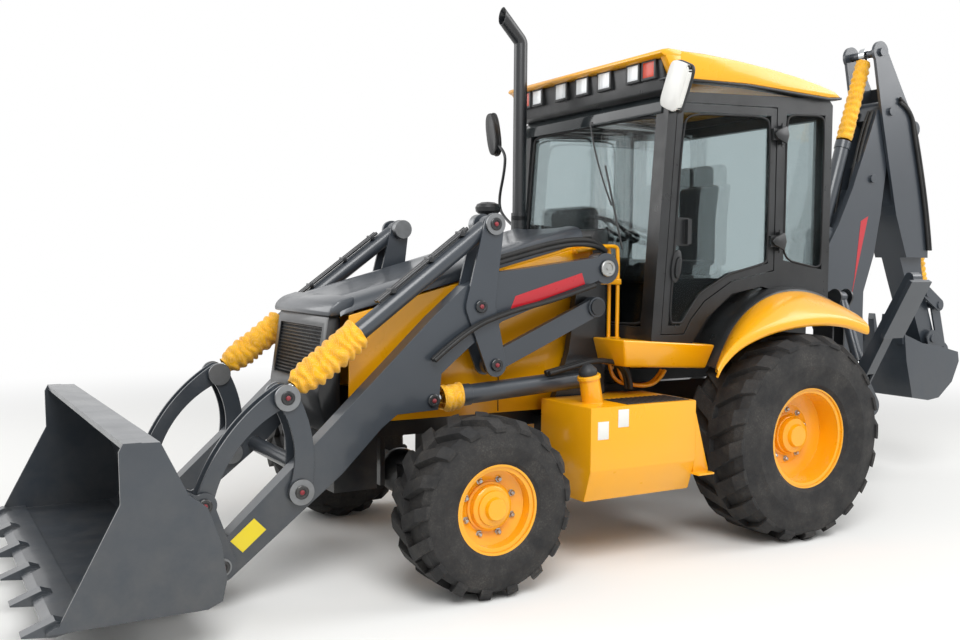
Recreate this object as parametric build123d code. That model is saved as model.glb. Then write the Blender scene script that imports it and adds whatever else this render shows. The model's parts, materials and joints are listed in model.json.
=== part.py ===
from build123d import *
import os
from math import atan2, cos, hypot, pi, radians, sin

# Backhoe loader, in millimetres. X runs forward from the rear axle, Y to the left, Z up from the
# ground. Every piece is moved back by MIDDLE at the end, so that the origin lies on the ground
# below the middle of the machine.
MIDDLE = 855

# ---------------------------------------------------------------- fits and common stock
PIN_GAP = 0.05          # radial running clearance of a pin in its bore
SEAT_GAP = 0.3          # clearance between curved pieces that lie against each other
PLATE = 14              # linkage plates
CAP = 10                # pin heads
SHEET = 16              # bonnet and panel stock

# ---------------------------------------------------------------- wheels
WHEELBASE = 2282
FRONT_TRACK = 1972
REAR_TRACK = 1836
FRONT_TYRE_R = 468
FRONT_TYRE_W = 368
FRONT_RIM_R = 222
REAR_TYRE_R = 650
REAR_TYRE_W = 490
REAR_RIM_R = 305
LUG_HEIGHT = 34
REAR_LUGS = 20          # on each half of the tread
FRONT_LUGS = 17
KINGPIN_Y = FRONT_TRACK / 2 - 194
KINGPIN_R = 34
SPINDLE_R = 40           # stub that each wheel's hub turns on
KNUCKLE_R = 66
KNUCKLE_HALF = 96
AXLE_R = 95             # rear axle tube
AXLE_PIN_R = 35         # pin that the front axle hangs on

# ---------------------------------------------------------------- loader
ARM_Y = 600             # middle plane of each lift arm
EYE_HALF = 26           # rod eyes
LINK_IN = 29            # front links, two plates each, from the arm's middle plane
LINK_OUT = 43
ARM_HALF = 50
SIDE_IN = 56            # lever plates and bucket ears
SIDE_OUT = SIDE_IN + PLATE
PIN_R = 30
BOSS = 17               # depth of the bosses on the lever pins
BOSS_R = 66
SHAFT_R = 58            # bucket's hinge shaft between the arms
MAIN_PIVOT = (1239, 1699)
LEVEL_PIN = (1291, 1468)
LEVER_TOP = (2033, 1941)
LEVER_MID = (2118, 1485)
LEVER_LOW = (2015, 1156)
CURVE_PIVOT = (3163, 563)
CURVE_TOP = (3235, 1045)
BUCKET_PIVOT = (3565, 235)
BUCKET_LINK = (3650, 545)
LIFT_BASE = (1330, 1045)
LIFT_TIP = (2400, 977)
LIFT_CLOSED = 985       # pin to pin, rod home
LIFT_BARREL_R = 55
LIFT_ROD_R = 32
TILT_CLOSED = 1285
TILT_BARREL_R = 49
TILT_ROD_R = 27
BUCKET_HALF = 1150
BUCKET_SHEET = 14
TEETH = 6

# ---------------------------------------------------------------- backhoe
SWING_X = -1440
SWING_PIN_R = 45
POST_R = 80
LUG_LOW = 400            # undersides of the two swing lugs on the frame
LUG_HIGH = 820
LUG_THICK = 56
BOOM_FOOT = (-1650, 780)
BOOM_MID = (-1772, 2416)
BOOM_TOP = (-1930, 2950)
BOOM_CYL_BASE = (-1770, 620)
BOOM_CLOSED = 1330
BOOM_HALF = 120
DIPPER_HALF = 150
DIPPER_TAIL = (-1800, 3400)
DIPPER_CYL_BASE = (-1335, 1965)
DIPPER_CLOSED = 880
DIPPER_END = (-2575, 1130)
LEVER_PIN = (-2463, 1510)
LEVER_TIP = (-2622, 1410)
DIG_LINK = (-2734, 1030)
DIG_CYL_BASE = (-2235, 2836)
DIG_CLOSED = 1120
DIG_HALF = 300
TIP_HALF = 88            # half width of the dipper between the tipping links
BACK_BARREL_R = 55
BACK_ROD_R = 30
BACK_PIN_R = 32

# ---------------------------------------------------------------- stabilisers
LEG_X = -1080
LEG_PIVOT = (470, 610)  # (y, z)
LEG_TIP = (1030, 1650)
LEG_HALF = 45           # half thickness along the machine
LEG_CYL_BASE = (430, 1500)
LEG_CYL_TIP = (640, 930)
LEG_CLOSED = 575
BRACKET = 16            # bracket plates of the stabilisers

# ---------------------------------------------------------------- body
RAIL_Y = 300
RAIL_W = 70
RAIL_LOW = 750
RAIL_HIGH = 960
RAIL_REAR = -1013
PANEL_Y = 455
PANEL_LOW = 830
TOWER_Y = 480            # inner face of the loader towers
WEIGHT_PIN_X = 2800      # drawbar pin in the front weight
WEIGHT_PIN_R = 21
STACK = (1150, -300)     # exhaust pipe, (x, y)
STACK_R = 62
CAB_HALF = 800
DOOR_FRAME = 55
HINGE_Z = (1880, 2560)
HINGE_PIN_R = 7
FENDER_IN = 620          # inner side of the fenders
FENDER_OUT = 1120
FLOOR_Z = 1270            # top of the cab floor
FLOOR_THICK = 45
FENDER_X = 735           # front end of the rear fenders
DOOR_HINGE = (-20, CAB_HALF + 22)
BONNET_HINGE = (1262, 1925)


# ================================================================ shape helpers
def face_xz(points):
    """Flat face in the XZ plane from (x, z) corners."""
    return Plane.XZ * make_face(Polyline(*points, close=True))


def face_yz(points):
    """Flat face in the YZ plane from (y, z) corners."""
    return Plane.YZ * make_face(Polyline(*points, close=True))


def circle_xz(centre, radius):
    return Plane.XZ * (Pos(*centre) * Circle(radius))


def slab(face, y_low, y_high):
    """Solid between two Y values from a face in the XZ plane."""
    return extrude(Pos(0, y_high, 0) * face, amount=y_high - y_low)


def slab_x(face, x_low, x_high):
    """Solid between two X values from a face in the YZ plane."""
    return extrude(Pos(x_low, 0, 0) * face, amount=x_high - x_low)


def box(x, y, z):
    """Box between (low, high) pairs."""
    size = (x[1] - x[0], y[1] - y[0], z[1] - z[0])
    centre = ((x[0] + x[1]) / 2, (y[0] + y[1]) / 2, (z[0] + z[1]) / 2)
    return Pos(*centre) * Box(*size)


def round_bar(centre, radius, y_low, y_high):
    """Cylinder along Y at (x, z)."""
    return slab(circle_xz(centre, radius), y_low, y_high)


def strap(*ends):
    """Face round (x, z, radius) circles in a row, each joined to the next by its tangents."""
    whole = None
    for (x1, z1, r1), (x2, z2, r2) in zip(ends, ends[1:]):
        rims = [*(Pos(x1, z1) * Circle(r1)).edges(), *(Pos(x2, z2) * Circle(r2)).edges()]
        piece = make_hull(rims)
        whole = piece if whole is None else whole + piece
    return Plane.XZ * whole


def axis_plane(base, tip):
    """Plane at base (3-D) whose normal points at tip."""
    start = Vector(*base)
    return Plane(origin=start, z_dir=Vector(*tip) - start)


def tube_between(base, tip, radius, start, length):
    """Round bar on the line from base to tip, from start for length."""
    return axis_plane(base, tip) * (Pos(0, 0, start) * Cylinder(
        radius, length, align=(Align.CENTER, Align.CENTER, Align.MIN)))


def both_sides(shape):
    """The shape and its mirror image across the middle of the machine."""
    return Compound([*shape.solids(), *mirror(shape, Plane.XZ).solids()])


def strip(points, thickness):
    """Face of even thickness to the left of a line of (x, z) points, with mitred corners."""
    inner = []
    for i, (x, z) in enumerate(points):
        before = points[max(i - 1, 0)]
        after = points[min(i + 1, len(points) - 1)]
        if i == 0:
            before = (2 * x - after[0], 2 * z - after[1])
        if i == len(points) - 1:
            after = (2 * x - before[0], 2 * z - before[1])
        a = atan2(z - before[1], x - before[0])
        b = atan2(after[1] - z, after[0] - x)
        turn = (b - a + pi) % (2 * pi) - pi
        middle = a + turn / 2 + pi / 2
        reach = thickness / cos(turn / 2)
        inner.append((x + reach * cos(middle), z + reach * sin(middle)))
    return face_xz([*points, *reversed(inner)])


def pin(centre, radius, y_low, y_high):
    return round_bar(centre, radius, y_low, y_high)


def bore(centre, radius, y_low, y_high):
    return round_bar(centre, radius + PIN_GAP, y_low, y_high)


def span(a, b):
    return hypot(b[0] - a[0], b[1] - a[1])


def cylinder_pair(base, tip, closed, barrel_r, rod_r, pin_r, eye_half, y):
    """Barrel and rod of a hydraulic cylinder in the plane at y, from (x, z) pins."""
    gland = closed - pin_r * 2.4 - 30
    start = (base[0], y, base[1])
    end = (tip[0], y, tip[1])
    now = span(base, tip)
    eye_r = pin_r * 1.65
    barrel = tube_between(start, end, barrel_r, eye_r * 0.8, gland - eye_r * 0.8)
    barrel += tube_between(start, end, barrel_r + 6, gland - 60, 60)
    barrel += round_bar(base, eye_r, y - eye_half, y + eye_half)
    barrel -= tube_between(start, end, rod_r + SEAT_GAP, eye_r + 40, gland)
    barrel -= bore(base, pin_r, y - barrel_r * 2, y + barrel_r * 2)
    home = now - closed + eye_r + 60
    rod = tube_between(start, end, rod_r, home, now - home - eye_r * 0.7)
    rod += round_bar(tip, eye_r, y - eye_half, y + eye_half)
    rod -= bore(tip, pin_r, y - eye_half * 2, y + eye_half * 2)
    return barrel, rod


def with_bores(solid, centres, radius, y_low, y_high):
    for centre in centres:
        solid -= bore(centre, radius, y_low, y_high)
    return solid


def plate_pair(face, inner, outer, y=ARM_Y):
    """Two plates, one each side of the plane at y."""
    return slab(face, y + inner, y + outer) + slab(face, y - outer, y - inner)


# ================================================================ wheels
def tyre(radius, width, rim_r, lugs):
    """Tyre round the origin with its axis along Y: a carcass and two rows of slanting lugs."""
    tread = radius - LUG_HEIGHT
    half = width / 2
    bead = rim_r + SEAT_GAP
    section = [(bead, -half * 0.80), (bead + 30, -half * 0.92), ((bead + tread) / 2, -half),
               (tread - 26, -half * 0.93), (tread, -half * 0.72), (tread, half * 0.72),
               (tread - 26, half * 0.93), ((bead + tread) / 2, half), (bead + 30, half * 0.92),
               (bead, half * 0.80)]
    carcass = revolve(Plane.YZ * make_face(Polyline(*[(y, r) for r, y in section], close=True)),
                      Axis.Y)
    # One lug seen from outside the tread: it leans back from the middle to the shoulder.
    step = 360 / lugs
    lean = radius * 0.21
    thick = radius * 0.088
    top = [(-12, lean - thick), (-12, lean + thick), (half * 0.97, thick * 0.8),
           (half * 0.97, -thick * 0.8)]
    lug = extrude(Plane.XY * make_face(Polyline(*[(x, y) for y, x in top], close=True)),
                  amount=LUG_HEIGHT + 30)
    lug = Pos(0, 0, tread - 30) * lug
    trim = revolve(Plane.YZ * make_face(Polyline(
        (-20, 0), (-20, radius), (half * 0.72, radius), (half * 0.97, radius - 42),
        (half * 0.97, 0), close=True)), Axis.Y)
    lug = lug & trim
    pieces = []
    for i in range(lugs):
        pieces.append(Rot(0, i * step, 0) * lug)
        pieces.append(Rot(0, (i + 0.5) * step, 0) * mirror(lug, Plane.XZ))
    return carcass + pieces


def rim(rim_r, half, disc_y, hub_r, hub_out, hub_in, flange_r):
    """Rim round the origin, outer face towards +Y: barrel, dished disc and hub."""
    section = [(hub_in + 70, 0), (hub_in + 70, SPINDLE_R + PIN_GAP),
               (hub_in, SPINDLE_R + PIN_GAP), (hub_in, hub_r * 0.8), (disc_y - 30, hub_r * 0.8),
               (disc_y - 30, rim_r * 0.62), (disc_y - 6, rim_r - 22), (-half + 8, rim_r - 22),
               (-half, flange_r), (-half - 10, flange_r), (-half - 8, rim_r), (-half * 0.8, rim_r),
               (half * 0.8, rim_r), (half + 8, rim_r), (half + 10, flange_r), (half, flange_r),
               (half - 8, rim_r - 22), (disc_y + 18, rim_r - 22), (disc_y - 6, rim_r * 0.62),
               (disc_y - 6, hub_r), (hub_out - 30, hub_r * 0.86), (hub_out - 22, hub_r * 0.6),
               (hub_out, hub_r * 0.52), (hub_out, 0)]
    return revolve(Plane.YZ * make_face(Polyline(*section, close=True)), Axis.Y)


def wheels():
    """Four wheels, each a tyre and a rim."""
    # name, x, y of the middle plane, axle height, tyre, rim
    front_tyre = tyre(FRONT_TYRE_R, FRONT_TYRE_W, FRONT_RIM_R, FRONT_LUGS)
    rear_tyre = tyre(REAR_TYRE_R, REAR_TYRE_W, REAR_RIM_R, REAR_LUGS)
    front_rim = rim(FRONT_RIM_R, FRONT_TYRE_W * 0.40, 60, 105, 150, -60, FRONT_RIM_R + 26)
    rear_rim = rim(REAR_RIM_R, REAR_TYRE_W * 0.40, 20, 125, 120, -100, REAR_RIM_R + 30)
    table = [
        ("front", WHEELBASE, FRONT_TRACK / 2, FRONT_TYRE_R, front_tyre, front_rim),
        ("rear", 0, REAR_TRACK / 2, REAR_TYRE_R, rear_tyre, rear_rim),
    ]
    out = {}
    for end, x, y, z, rubber, steel in table:
        for side, turn in (("left", 0), ("right", 180)):
            sign = 1 if side == "left" else -1
            place = Pos(x, sign * y, z) * Rot(0, 0, turn)
            out[f"{end}_tyre_{side}"] = place * rubber
            out[f"{end}_rim_{side}"] = place * steel
    return out


def axles():
    """Front and rear axle housings, as two solids."""
    z = REAR_TYRE_R
    inner = REAR_TRACK / 2 - 100 - 1
    rear = Pos(0, 0, z) * Rot(90, 0, 0) * Cylinder(AXLE_R, inner * 2)
    rear += Pos(0, 0, z) * Rot(90, 0, 0) * Cylinder(SPINDLE_R, (inner + 65) * 2)
    rear += Pos(0, 0, z) * Sphere(185)
    z = FRONT_TYRE_R
    arm_end = KINGPIN_Y - 95
    front = box((WHEELBASE - 75, WHEELBASE + 75), (-arm_end, arm_end), (z - 60, z + 60))
    front += Pos(WHEELBASE, 0, z) * Sphere(135)
    front -= Pos(WHEELBASE, 0, z) * Rot(0, 90, 0) * Cylinder(AXLE_PIN_R + PIN_GAP, 400)
    for sign in (1, -1):
        for up in (1, -1):
            low = z + up * (KNUCKLE_HALF + 16) - 15
            ear = box((WHEELBASE - 60, WHEELBASE + 60), sorted((sign * (arm_end - 50), sign * KINGPIN_Y)),
                      (low, low + 30))
            ear += Pos(WHEELBASE, sign * KINGPIN_Y, low + 15) * Cylinder(60, 30)
            web_low = min(low, z + up * 50)
            web_high = max(low + 30, z + up * 50)
            ear += box((WHEELBASE - 60, WHEELBASE + 60),
                       sorted((sign * (arm_end - 50), sign * arm_end)), (web_low, web_high))
            ear -= Pos(WHEELBASE, sign * KINGPIN_Y, low + 15) * Cylinder(KINGPIN_R + PIN_GAP, 60)
            front += ear
    return Compound([*rear.solids(), *front.solids()])


def knuckle():
    """Left steering knuckle: a block on its kingpin, with the spindle that carries the wheel."""
    z = FRONT_TYRE_R
    body = Pos(WHEELBASE, KINGPIN_Y, z) * Cylinder(KNUCKLE_R, KNUCKLE_HALF * 2)
    body += Pos(WHEELBASE, KINGPIN_Y, z) * Cylinder(KINGPIN_R, (KNUCKLE_HALF + 31) * 2)
    reach = FRONT_TRACK / 2 - 60 - 1
    body += Pos(WHEELBASE, (KINGPIN_Y + reach) / 2, z) * Rot(90, 0, 0) * Cylinder(
        55, reach - KINGPIN_Y)
    body += Pos(WHEELBASE, (KINGPIN_Y + reach + 65) / 2, z) * Rot(90, 0, 0) * Cylinder(
        SPINDLE_R, reach + 65 - KINGPIN_Y)
    return body


# ================================================================ loader
def lift_arms():
    """Both lift arms, joined by the cross tube."""
    outline = [(1276, 1768), (1974, 1675), (2205, 1597), (2410, 1427), (3097, 778), (3462, 444),
               (3612, 303), (3515, 170), (2931, 627), (2704, 851), (2616, 915), (2371, 925),
               (2351, 1122), (2160, 1275), (1966, 1398), (1300, 1625)]
    arm = slab(face_xz(outline), ARM_Y - ARM_HALF, ARM_Y + ARM_HALF)
    arm += round_bar(MAIN_PIVOT, 92, ARM_Y - ARM_HALF, ARM_Y + ARM_HALF)
    arm += round_bar(BUCKET_PIVOT, 82, ARM_Y - ARM_HALF, ARM_Y + ARM_HALF)
    slot = face_xz([(2180, 1262), (2330, 1230), (2560, 1060), (2720, 920), (2700, 780), (2180, 780)])
    half = LIFT_ROD_R + 4
    arm -= slab(slot, ARM_Y - half, ARM_Y + half)
    low, high = ARM_Y - 200, ARM_Y + 200
    arm = with_bores(arm, [MAIN_PIVOT, LEVER_MID, CURVE_PIVOT, BUCKET_PIVOT], PIN_R, low, high)
    for side in (1, -1):
        inner, outer = sorted((ARM_Y + side * half, ARM_Y + side * (ARM_HALF + CAP)))
        arm += pin(LIFT_TIP, PIN_R, inner, outer)
    pair = both_sides(arm)
    tube = Pos(3009, 0, 603) * Rot(90, 0, 0) * Cylinder(45, 2 * (ARM_Y - ARM_HALF))
    return Compound([*pair.solids()]) + tube


def levers():
    """Self-levelling levers, two plates each side of either arm, with their own pins."""
    face = strap((*LEVER_TOP, 62), (*LEVER_MID, 92), (*LEVER_LOW, 66))
    lever = plate_pair(face, SIDE_IN, SIDE_OUT)
    lever += pin(LEVER_MID, PIN_R, ARM_Y - SIDE_OUT - CAP, ARM_Y + SIDE_OUT + CAP)
    lever = with_bores(lever, [LEVER_TOP], PIN_R, ARM_Y - 200, ARM_Y + 200)
    for side in (1, -1):
        a, b = sorted((ARM_Y + side * (EYE_HALF + 5), ARM_Y + side * (SIDE_OUT + CAP)))
        lever += pin(LEVER_LOW, PIN_R, a, b)
    return both_sides(lever)


def level_links():
    face = strap((*LEVEL_PIN, 56), (*LEVER_LOW, 56))
    web = slab(face, ARM_Y - 20, ARM_Y + 20)
    link = web + round_bar(LEVEL_PIN, 60, ARM_Y - 35, ARM_Y + 35)
    link = with_bores(link, [LEVEL_PIN, LEVER_LOW], PIN_R, ARM_Y - 200, ARM_Y + 200)
    return both_sides(link)


def headed_pin(centre, inner_boss, boss_r):
    """Left pin through a lever's plates: a head outside and a boss on the machine's side."""
    low = ARM_Y - SIDE_OUT - inner_boss
    high = ARM_Y + SIDE_OUT + BOSS
    body = pin(centre, PIN_R, low, high)
    body += pin(centre, boss_r, low, ARM_Y - SIDE_OUT - 1)
    body += pin(centre, boss_r, ARM_Y + SIDE_OUT + 1, high)
    return body


def hinge_shaft():
    """Shaft through both arms' lower ends that the bucket turns on, thick between the arms."""
    reach = ARM_Y + SIDE_OUT + CAP
    body = pin(BUCKET_PIVOT, PIN_R, -reach, reach)
    inner = ARM_Y - SIDE_OUT - 3
    body += pin(BUCKET_PIVOT, SHAFT_R, -inner, inner)
    for side in (1, -1):
        a, b = sorted((side * (ARM_Y + SIDE_OUT + 1), side * reach))
        body += pin(BUCKET_PIVOT, PIN_R * 1.5, a, b)
    return body


def curved_levers():
    """Levers that the tilt rods push, a plate each side of the arm and of the front link."""
    front = ThreePointArc((3290, 1030), (3203, 840), (3222, 590))
    rear = ThreePointArc((3105, 570), (3100, 830), (3180, 1062))
    face = Plane.XZ * make_face([front, Line((3222, 590), (3105, 570)), rear,
                                 Line((3180, 1062), (3290, 1030))])
    face += circle_xz(CURVE_TOP, 60)
    face += circle_xz(CURVE_PIVOT, 64)
    lever = plate_pair(face, SIDE_IN, SIDE_OUT)
    lever = with_bores(lever, [CURVE_TOP, CURVE_PIVOT], PIN_R, ARM_Y - 200, ARM_Y + 200)
    return both_sides(lever)


def front_links():
    """Curved links from the levers' tops down to the bucket's ears."""
    outer = ThreePointArc((3270, 1096), (3530, 862), (3690, 556))
    inner = ThreePointArc((3602, 532), (3480, 800), (3240, 990))
    face = Plane.XZ * make_face([outer, Line((3690, 556), (3602, 532)), inner,
                                 Line((3240, 990), (3270, 1096))])
    face += circle_xz(CURVE_TOP, 62)
    face += circle_xz(BUCKET_LINK, 48)
    link = plate_pair(face, LINK_IN, LINK_OUT)
    link = with_bores(link, [CURVE_TOP, BUCKET_LINK], PIN_R, ARM_Y - 200, ARM_Y + 200)
    return both_sides(link)


def split_pins(centre, inner):
    """Two short pins in line that leave the middle free for a rod eye."""
    body = None
    for side in (1, -1):
        a, b = sorted((ARM_Y + side * inner, ARM_Y + side * (SIDE_OUT + BOSS)))
        stub = pin(centre, PIN_R, a, b)
        a, b = sorted((ARM_Y + side * (SIDE_OUT + 1), ARM_Y + side * (SIDE_OUT + BOSS)))
        stub += pin(centre, BOSS_R, a, b)
        body = stub if body is None else body + stub
    return both_sides(body)


def loader_bucket():
    back = [(4114, 963), (3962, 958), (3844, 717), (3764, 654), (3706, 496), (3680, 330),
            (3700, 232), (3765, 205), (4386, 205)]
    side = [*back, (4127, 707), (4132, 927)]
    shell = slab(strip(back, BUCKET_SHEET), -BUCKET_HALF, BUCKET_HALF)
    for sign in (1, -1):
        a, b = sorted((sign * BUCKET_HALF, sign * (BUCKET_HALF - BUCKET_SHEET)))
        shell += slab(face_xz(side), a, b)
    shell += box((4040, 4114), (-BUCKET_HALF, BUCKET_HALF), (935, 963))
    edge = face_xz([(4250, 205), (4420, 205), (4420, 214), (4380, 233), (4250, 233)])
    shell += slab(edge, -BUCKET_HALF, BUCKET_HALF)
    tooth = face_xz([(4330, 192), (4330, 232), (4380, 252), (4510, 204), (4510, 198), (4380, 182)])
    pitch = (2 * BUCKET_HALF - 150) / (TEETH - 1)
    for i in range(TEETH):
        y = -BUCKET_HALF + 75 + i * pitch
        shell += slab(tooth, y - 38, y + 38)
    ear = face_xz([(3565, 160), (3700, 210), (3790, 660), (3700, 606), (3612, 575), (3500, 270)])
    ear += circle_xz(BUCKET_PIVOT, 74)
    ear += circle_xz(BUCKET_LINK, 62)
    ear -= face_xz([*back, (4386, 1200), (4114, 1200)])
    for sign in (1, -1):
        for layer in (1, -1):
            a, b = sorted((sign * ARM_Y + layer * SIDE_IN, sign * ARM_Y + layer * SIDE_OUT))
            shell += slab(ear, a, b)
            shell -= bore(BUCKET_PIVOT, PIN_R, a - 1, b + 1)
            a, b = sorted((sign * ARM_Y + layer * (LINK_OUT + 4),
                           sign * ARM_Y + layer * (SIDE_OUT + CAP)))
            shell += pin(BUCKET_LINK, PIN_R, a, b)
    return shell


def loader():
    lift_barrel, lift_rod = cylinder_pair(LIFT_BASE, LIFT_TIP, LIFT_CLOSED, LIFT_BARREL_R,
                                          LIFT_ROD_R, PIN_R, EYE_HALF, ARM_Y)
    tilt_barrel, tilt_rod = cylinder_pair(LEVER_TOP, CURVE_TOP, TILT_CLOSED, TILT_BARREL_R,
                                          TILT_ROD_R, PIN_R, EYE_HALF, ARM_Y)
    return {
        "lift_arms": lift_arms(),
        "levelling_levers": levers(),
        "levelling_links": level_links(),
        "lift_barrels": both_sides(lift_barrel),
        "lift_rods": both_sides(lift_rod),
        "lever_top_pins": both_sides(headed_pin(LEVER_TOP, 3 * BOSS, BOSS_R - 6)),
        "tilt_barrels": both_sides(tilt_barrel),
        "tilt_rods": both_sides(tilt_rod),
        "curved_lever_pins": both_sides(headed_pin(CURVE_PIVOT, BOSS, BOSS_R)),
        "curved_levers": curved_levers(),
        "front_link_pins": split_pins(CURVE_TOP, EYE_HALF + 2),
        "front_links": front_links(),
        "bucket_hinge_pins": hinge_shaft(),
        "loader_bucket": loader_bucket(),
    }


# ================================================================ backhoe
def swing_post():
    """Post on the swing pins, with the ears that carry the boom and its cylinder."""
    low, high = LUG_LOW + LUG_THICK + 1, LUG_HIGH - 1
    body = Pos(SWING_X, 0, (low + high) / 2) * Cylinder(POST_R, high - low)
    body += box((SWING_X - 60, SWING_X + 60), (-190, 190), (low, high))
    ear = strap((*BOOM_FOOT, 92), (*BOOM_CYL_BASE, 80))
    ear += face_xz([(SWING_X, low), (SWING_X, high), (SWING_X - 110, high),
                    (BOOM_FOOT[0], BOOM_FOOT[1] + 92),
                    (BOOM_CYL_BASE[0], BOOM_CYL_BASE[1] - 60), (BOOM_CYL_BASE[0] + 60, low)])
    for side in (1, -1):
        a, b = sorted((side * (BOOM_HALF + 6), side * 190))
        body += slab(ear, a, b)
    body -= Pos(SWING_X, 0, (low + high) / 2) * Cylinder(SWING_PIN_R + PIN_GAP, high - low + 2)
    body -= bore(BOOM_FOOT, BACK_PIN_R, -300, 300)
    body += pin(BOOM_CYL_BASE, BACK_PIN_R, -200, 200)
    return body


def boom():
    front = [(-1815, 2962), (-1676, 2622), (-1551, 2328), (-1411, 2058), (-1300, 1890),
             (-1275, 1700), (-1330, 1400), (-1480, 1100), (-1558, 800)]
    rear = [(-1742, 780), (-1700, 1500), (-1820, 1818), (-1885, 2134), (-1946, 2555),
            (-2010, 2930)]
    body = slab(face_xz([*front, *rear]), -BOOM_HALF, BOOM_HALF)
    body += round_bar(BOOM_FOOT, 88, -BOOM_HALF, BOOM_HALF)
    body += round_bar(BOOM_TOP, 90, -BOOM_HALF, BOOM_HALF)
    well = face_xz([(-1690, 500), (-1640, 1000), (-1600, 1500), (-1640, 2000), (-1650, 2500),
                    (-2100, 2560), (-2000, 500)])
    inner = BACK_BARREL_R + 14
    body -= slab(well, -inner, inner)
    head = face_xz([(-1200, 1850), (-1390, 1850), (-1500, 2060), (-1900, 2800), (-1600, 3000),
                    (-1200, 2500)])
    body -= slab(head, -inner, inner)
    body = with_bores(body, [BOOM_TOP], BACK_PIN_R, -300, 300)
    body += pin(BOOM_FOOT, BACK_PIN_R, -190 - CAP, 190 + CAP)
    for side in (1, -1):
        a, b = sorted((side * (EYE_HALF + 20), side * (BOOM_HALF + 2 * CAP)))
        body += pin(BOOM_MID, BACK_PIN_R, a, b)
    lug = strap((*DIPPER_CYL_BASE, 60), (-1420, 1900, 80))
    for side in (1, -1):
        a, b = sorted((side * inner, side * (inner + 24)))
        body += slab(lug, a, b)
    body += pin(DIPPER_CYL_BASE, BACK_PIN_R, -inner - 24 - CAP, inner + 24 + CAP)
    return body


def dipper():
    """Dipper: a fork that straddles the boom, a channel for its cylinder and a narrow lower end."""
    outline = [(-1735, 3360), (-1817, 2988), (-1890, 2700), (-2038, 2138), (-2250, 1634),
               (-2490, 1090), (-2655, 1150), (-2515, 1480), (-2478, 1640), (-2450, 1740),
               (-2442, 2020), (-2273, 2699), (-2180, 2960), (-1890, 3396)]
    body = slab(face_xz(outline), -DIPPER_HALF, DIPPER_HALF)
    body += round_bar(DIPPER_TAIL, 85, -DIPPER_HALF, DIPPER_HALF)
    body += round_bar(DIPPER_END, 85, -DIPPER_HALF, DIPPER_HALF)
    body += round_bar(LEVER_PIN, 60, -DIPPER_HALF, DIPPER_HALF)
    fork = face_xz([(-1600, 3600), (-2020, 3560), (-2060, 2840), (-2085, 2500), (-2000, 2138),
                    (-1600, 2138)])
    body -= slab(fork, -BOOM_HALF - 6, BOOM_HALF + 6)
    for side in (1, -1):
        a, b = sorted((side * TIP_HALF, side * 200))
        body -= box((-2800, -2150), (a, b), (900, 1800))
    foot = DIG_CYL_BASE
    half = BACK_BARREL_R + 6
    channel = strap((*foot, 84), (-2500, 1780, 84), (-2522, 1680, 66))
    channel += face_xz([(foot[0], foot[1] + 84), (foot[0] - 500, foot[1] + 84), (-2900, 1640),
                        (-2522, 1640)])
    body -= slab(channel, -half, half)
    body = with_bores(body, [DIPPER_END, LEVER_PIN], BACK_PIN_R, -300, 300)
    body += pin(BOOM_TOP, BACK_PIN_R, -DIPPER_HALF - 2 * CAP, DIPPER_HALF + 2 * CAP)
    for side in (1, -1):
        a, b = sorted((side * (BACK_ROD_R + 6), side * (DIPPER_HALF + 2 * CAP)))
        body += pin(DIPPER_TAIL, BACK_PIN_R, a, b)
        a, b = sorted((side * half, side * DIPPER_HALF))
        body += slab(strap((*DIG_CYL_BASE, 62), (-2150, 2800, 90)), a, b)
    body += pin(DIG_CYL_BASE, BACK_PIN_R, -DIPPER_HALF - CAP, DIPPER_HALF + CAP)
    return body


def dig_bucket():
    back = [(-2672, 1028), (-2688, 950), (-2604, 783), (-2439, 662), (-2304, 648), (-2105, 680),
            (-2020, 983), (-1990, 1190)]
    side = [*back, (-2214, 1113), (-2416, 1085)]
    shell = slab(strip(back, 12), -DIG_HALF, DIG_HALF)
    for sign in (1, -1):
        a, b = sorted((sign * DIG_HALF, sign * (DIG_HALF - 12)))
        shell += slab(face_xz(side), a, b)
    ear = strap((*DIPPER_END, 70), (*DIG_LINK, 50))
    ear += face_xz([(-2778, 1010), (-2700, 850), (-2610, 800), (-2510, 1110)])
    for sign in (1, -1):
        a, b = sorted((sign * (TIP_HALF + 28), sign * (TIP_HALF + 44)))
        shell += slab(ear, a, b)
        a, b = sorted((sign * (TIP_HALF + 4), sign * (TIP_HALF + 52)))
        shell += pin(DIG_LINK, BACK_PIN_R, a, b)
    shell += pin(DIPPER_END, BACK_PIN_R, -TIP_HALF - 54, TIP_HALF + 54)
    tooth = face_xz([(-2024, 1110), (-1984, 1110), (-1960, 1300), (-1966, 1345), (-1976, 1345),
                     (-2012, 1200)])
    for i in range(5):
        y = -DIG_HALF + 40 + i * (2 * DIG_HALF - 80) / 4
        shell += slab(tooth, y - 28, y + 28)
    return shell


def tipping_lever():
    """Levers each side of the dipper's end that the bucket cylinder turns."""
    inner, outer = TIP_HALF + 50, TIP_HALF + 66
    lever = plate_pair(strap((*LEVER_PIN, 52), (*LEVER_TIP, 50)), inner, outer, 0)
    lever += pin(LEVER_PIN, BACK_PIN_R, -outer - CAP, outer + CAP)
    for side in (1, -1):
        a, b = sorted((side * (BACK_ROD_R + 6), side * (outer + CAP)))
        lever += pin(LEVER_TIP, BACK_PIN_R, a, b)
    return lever


def tipping_link():
    """Links from the tipping lever down to the bucket's ears."""
    link = plate_pair(strap((*LEVER_TIP, 50), (*DIG_LINK, 48)), TIP_HALF + 6, TIP_HALF + 22, 0)
    return with_bores(link, [LEVER_TIP, DIG_LINK], BACK_PIN_R, -300, 300)


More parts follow.
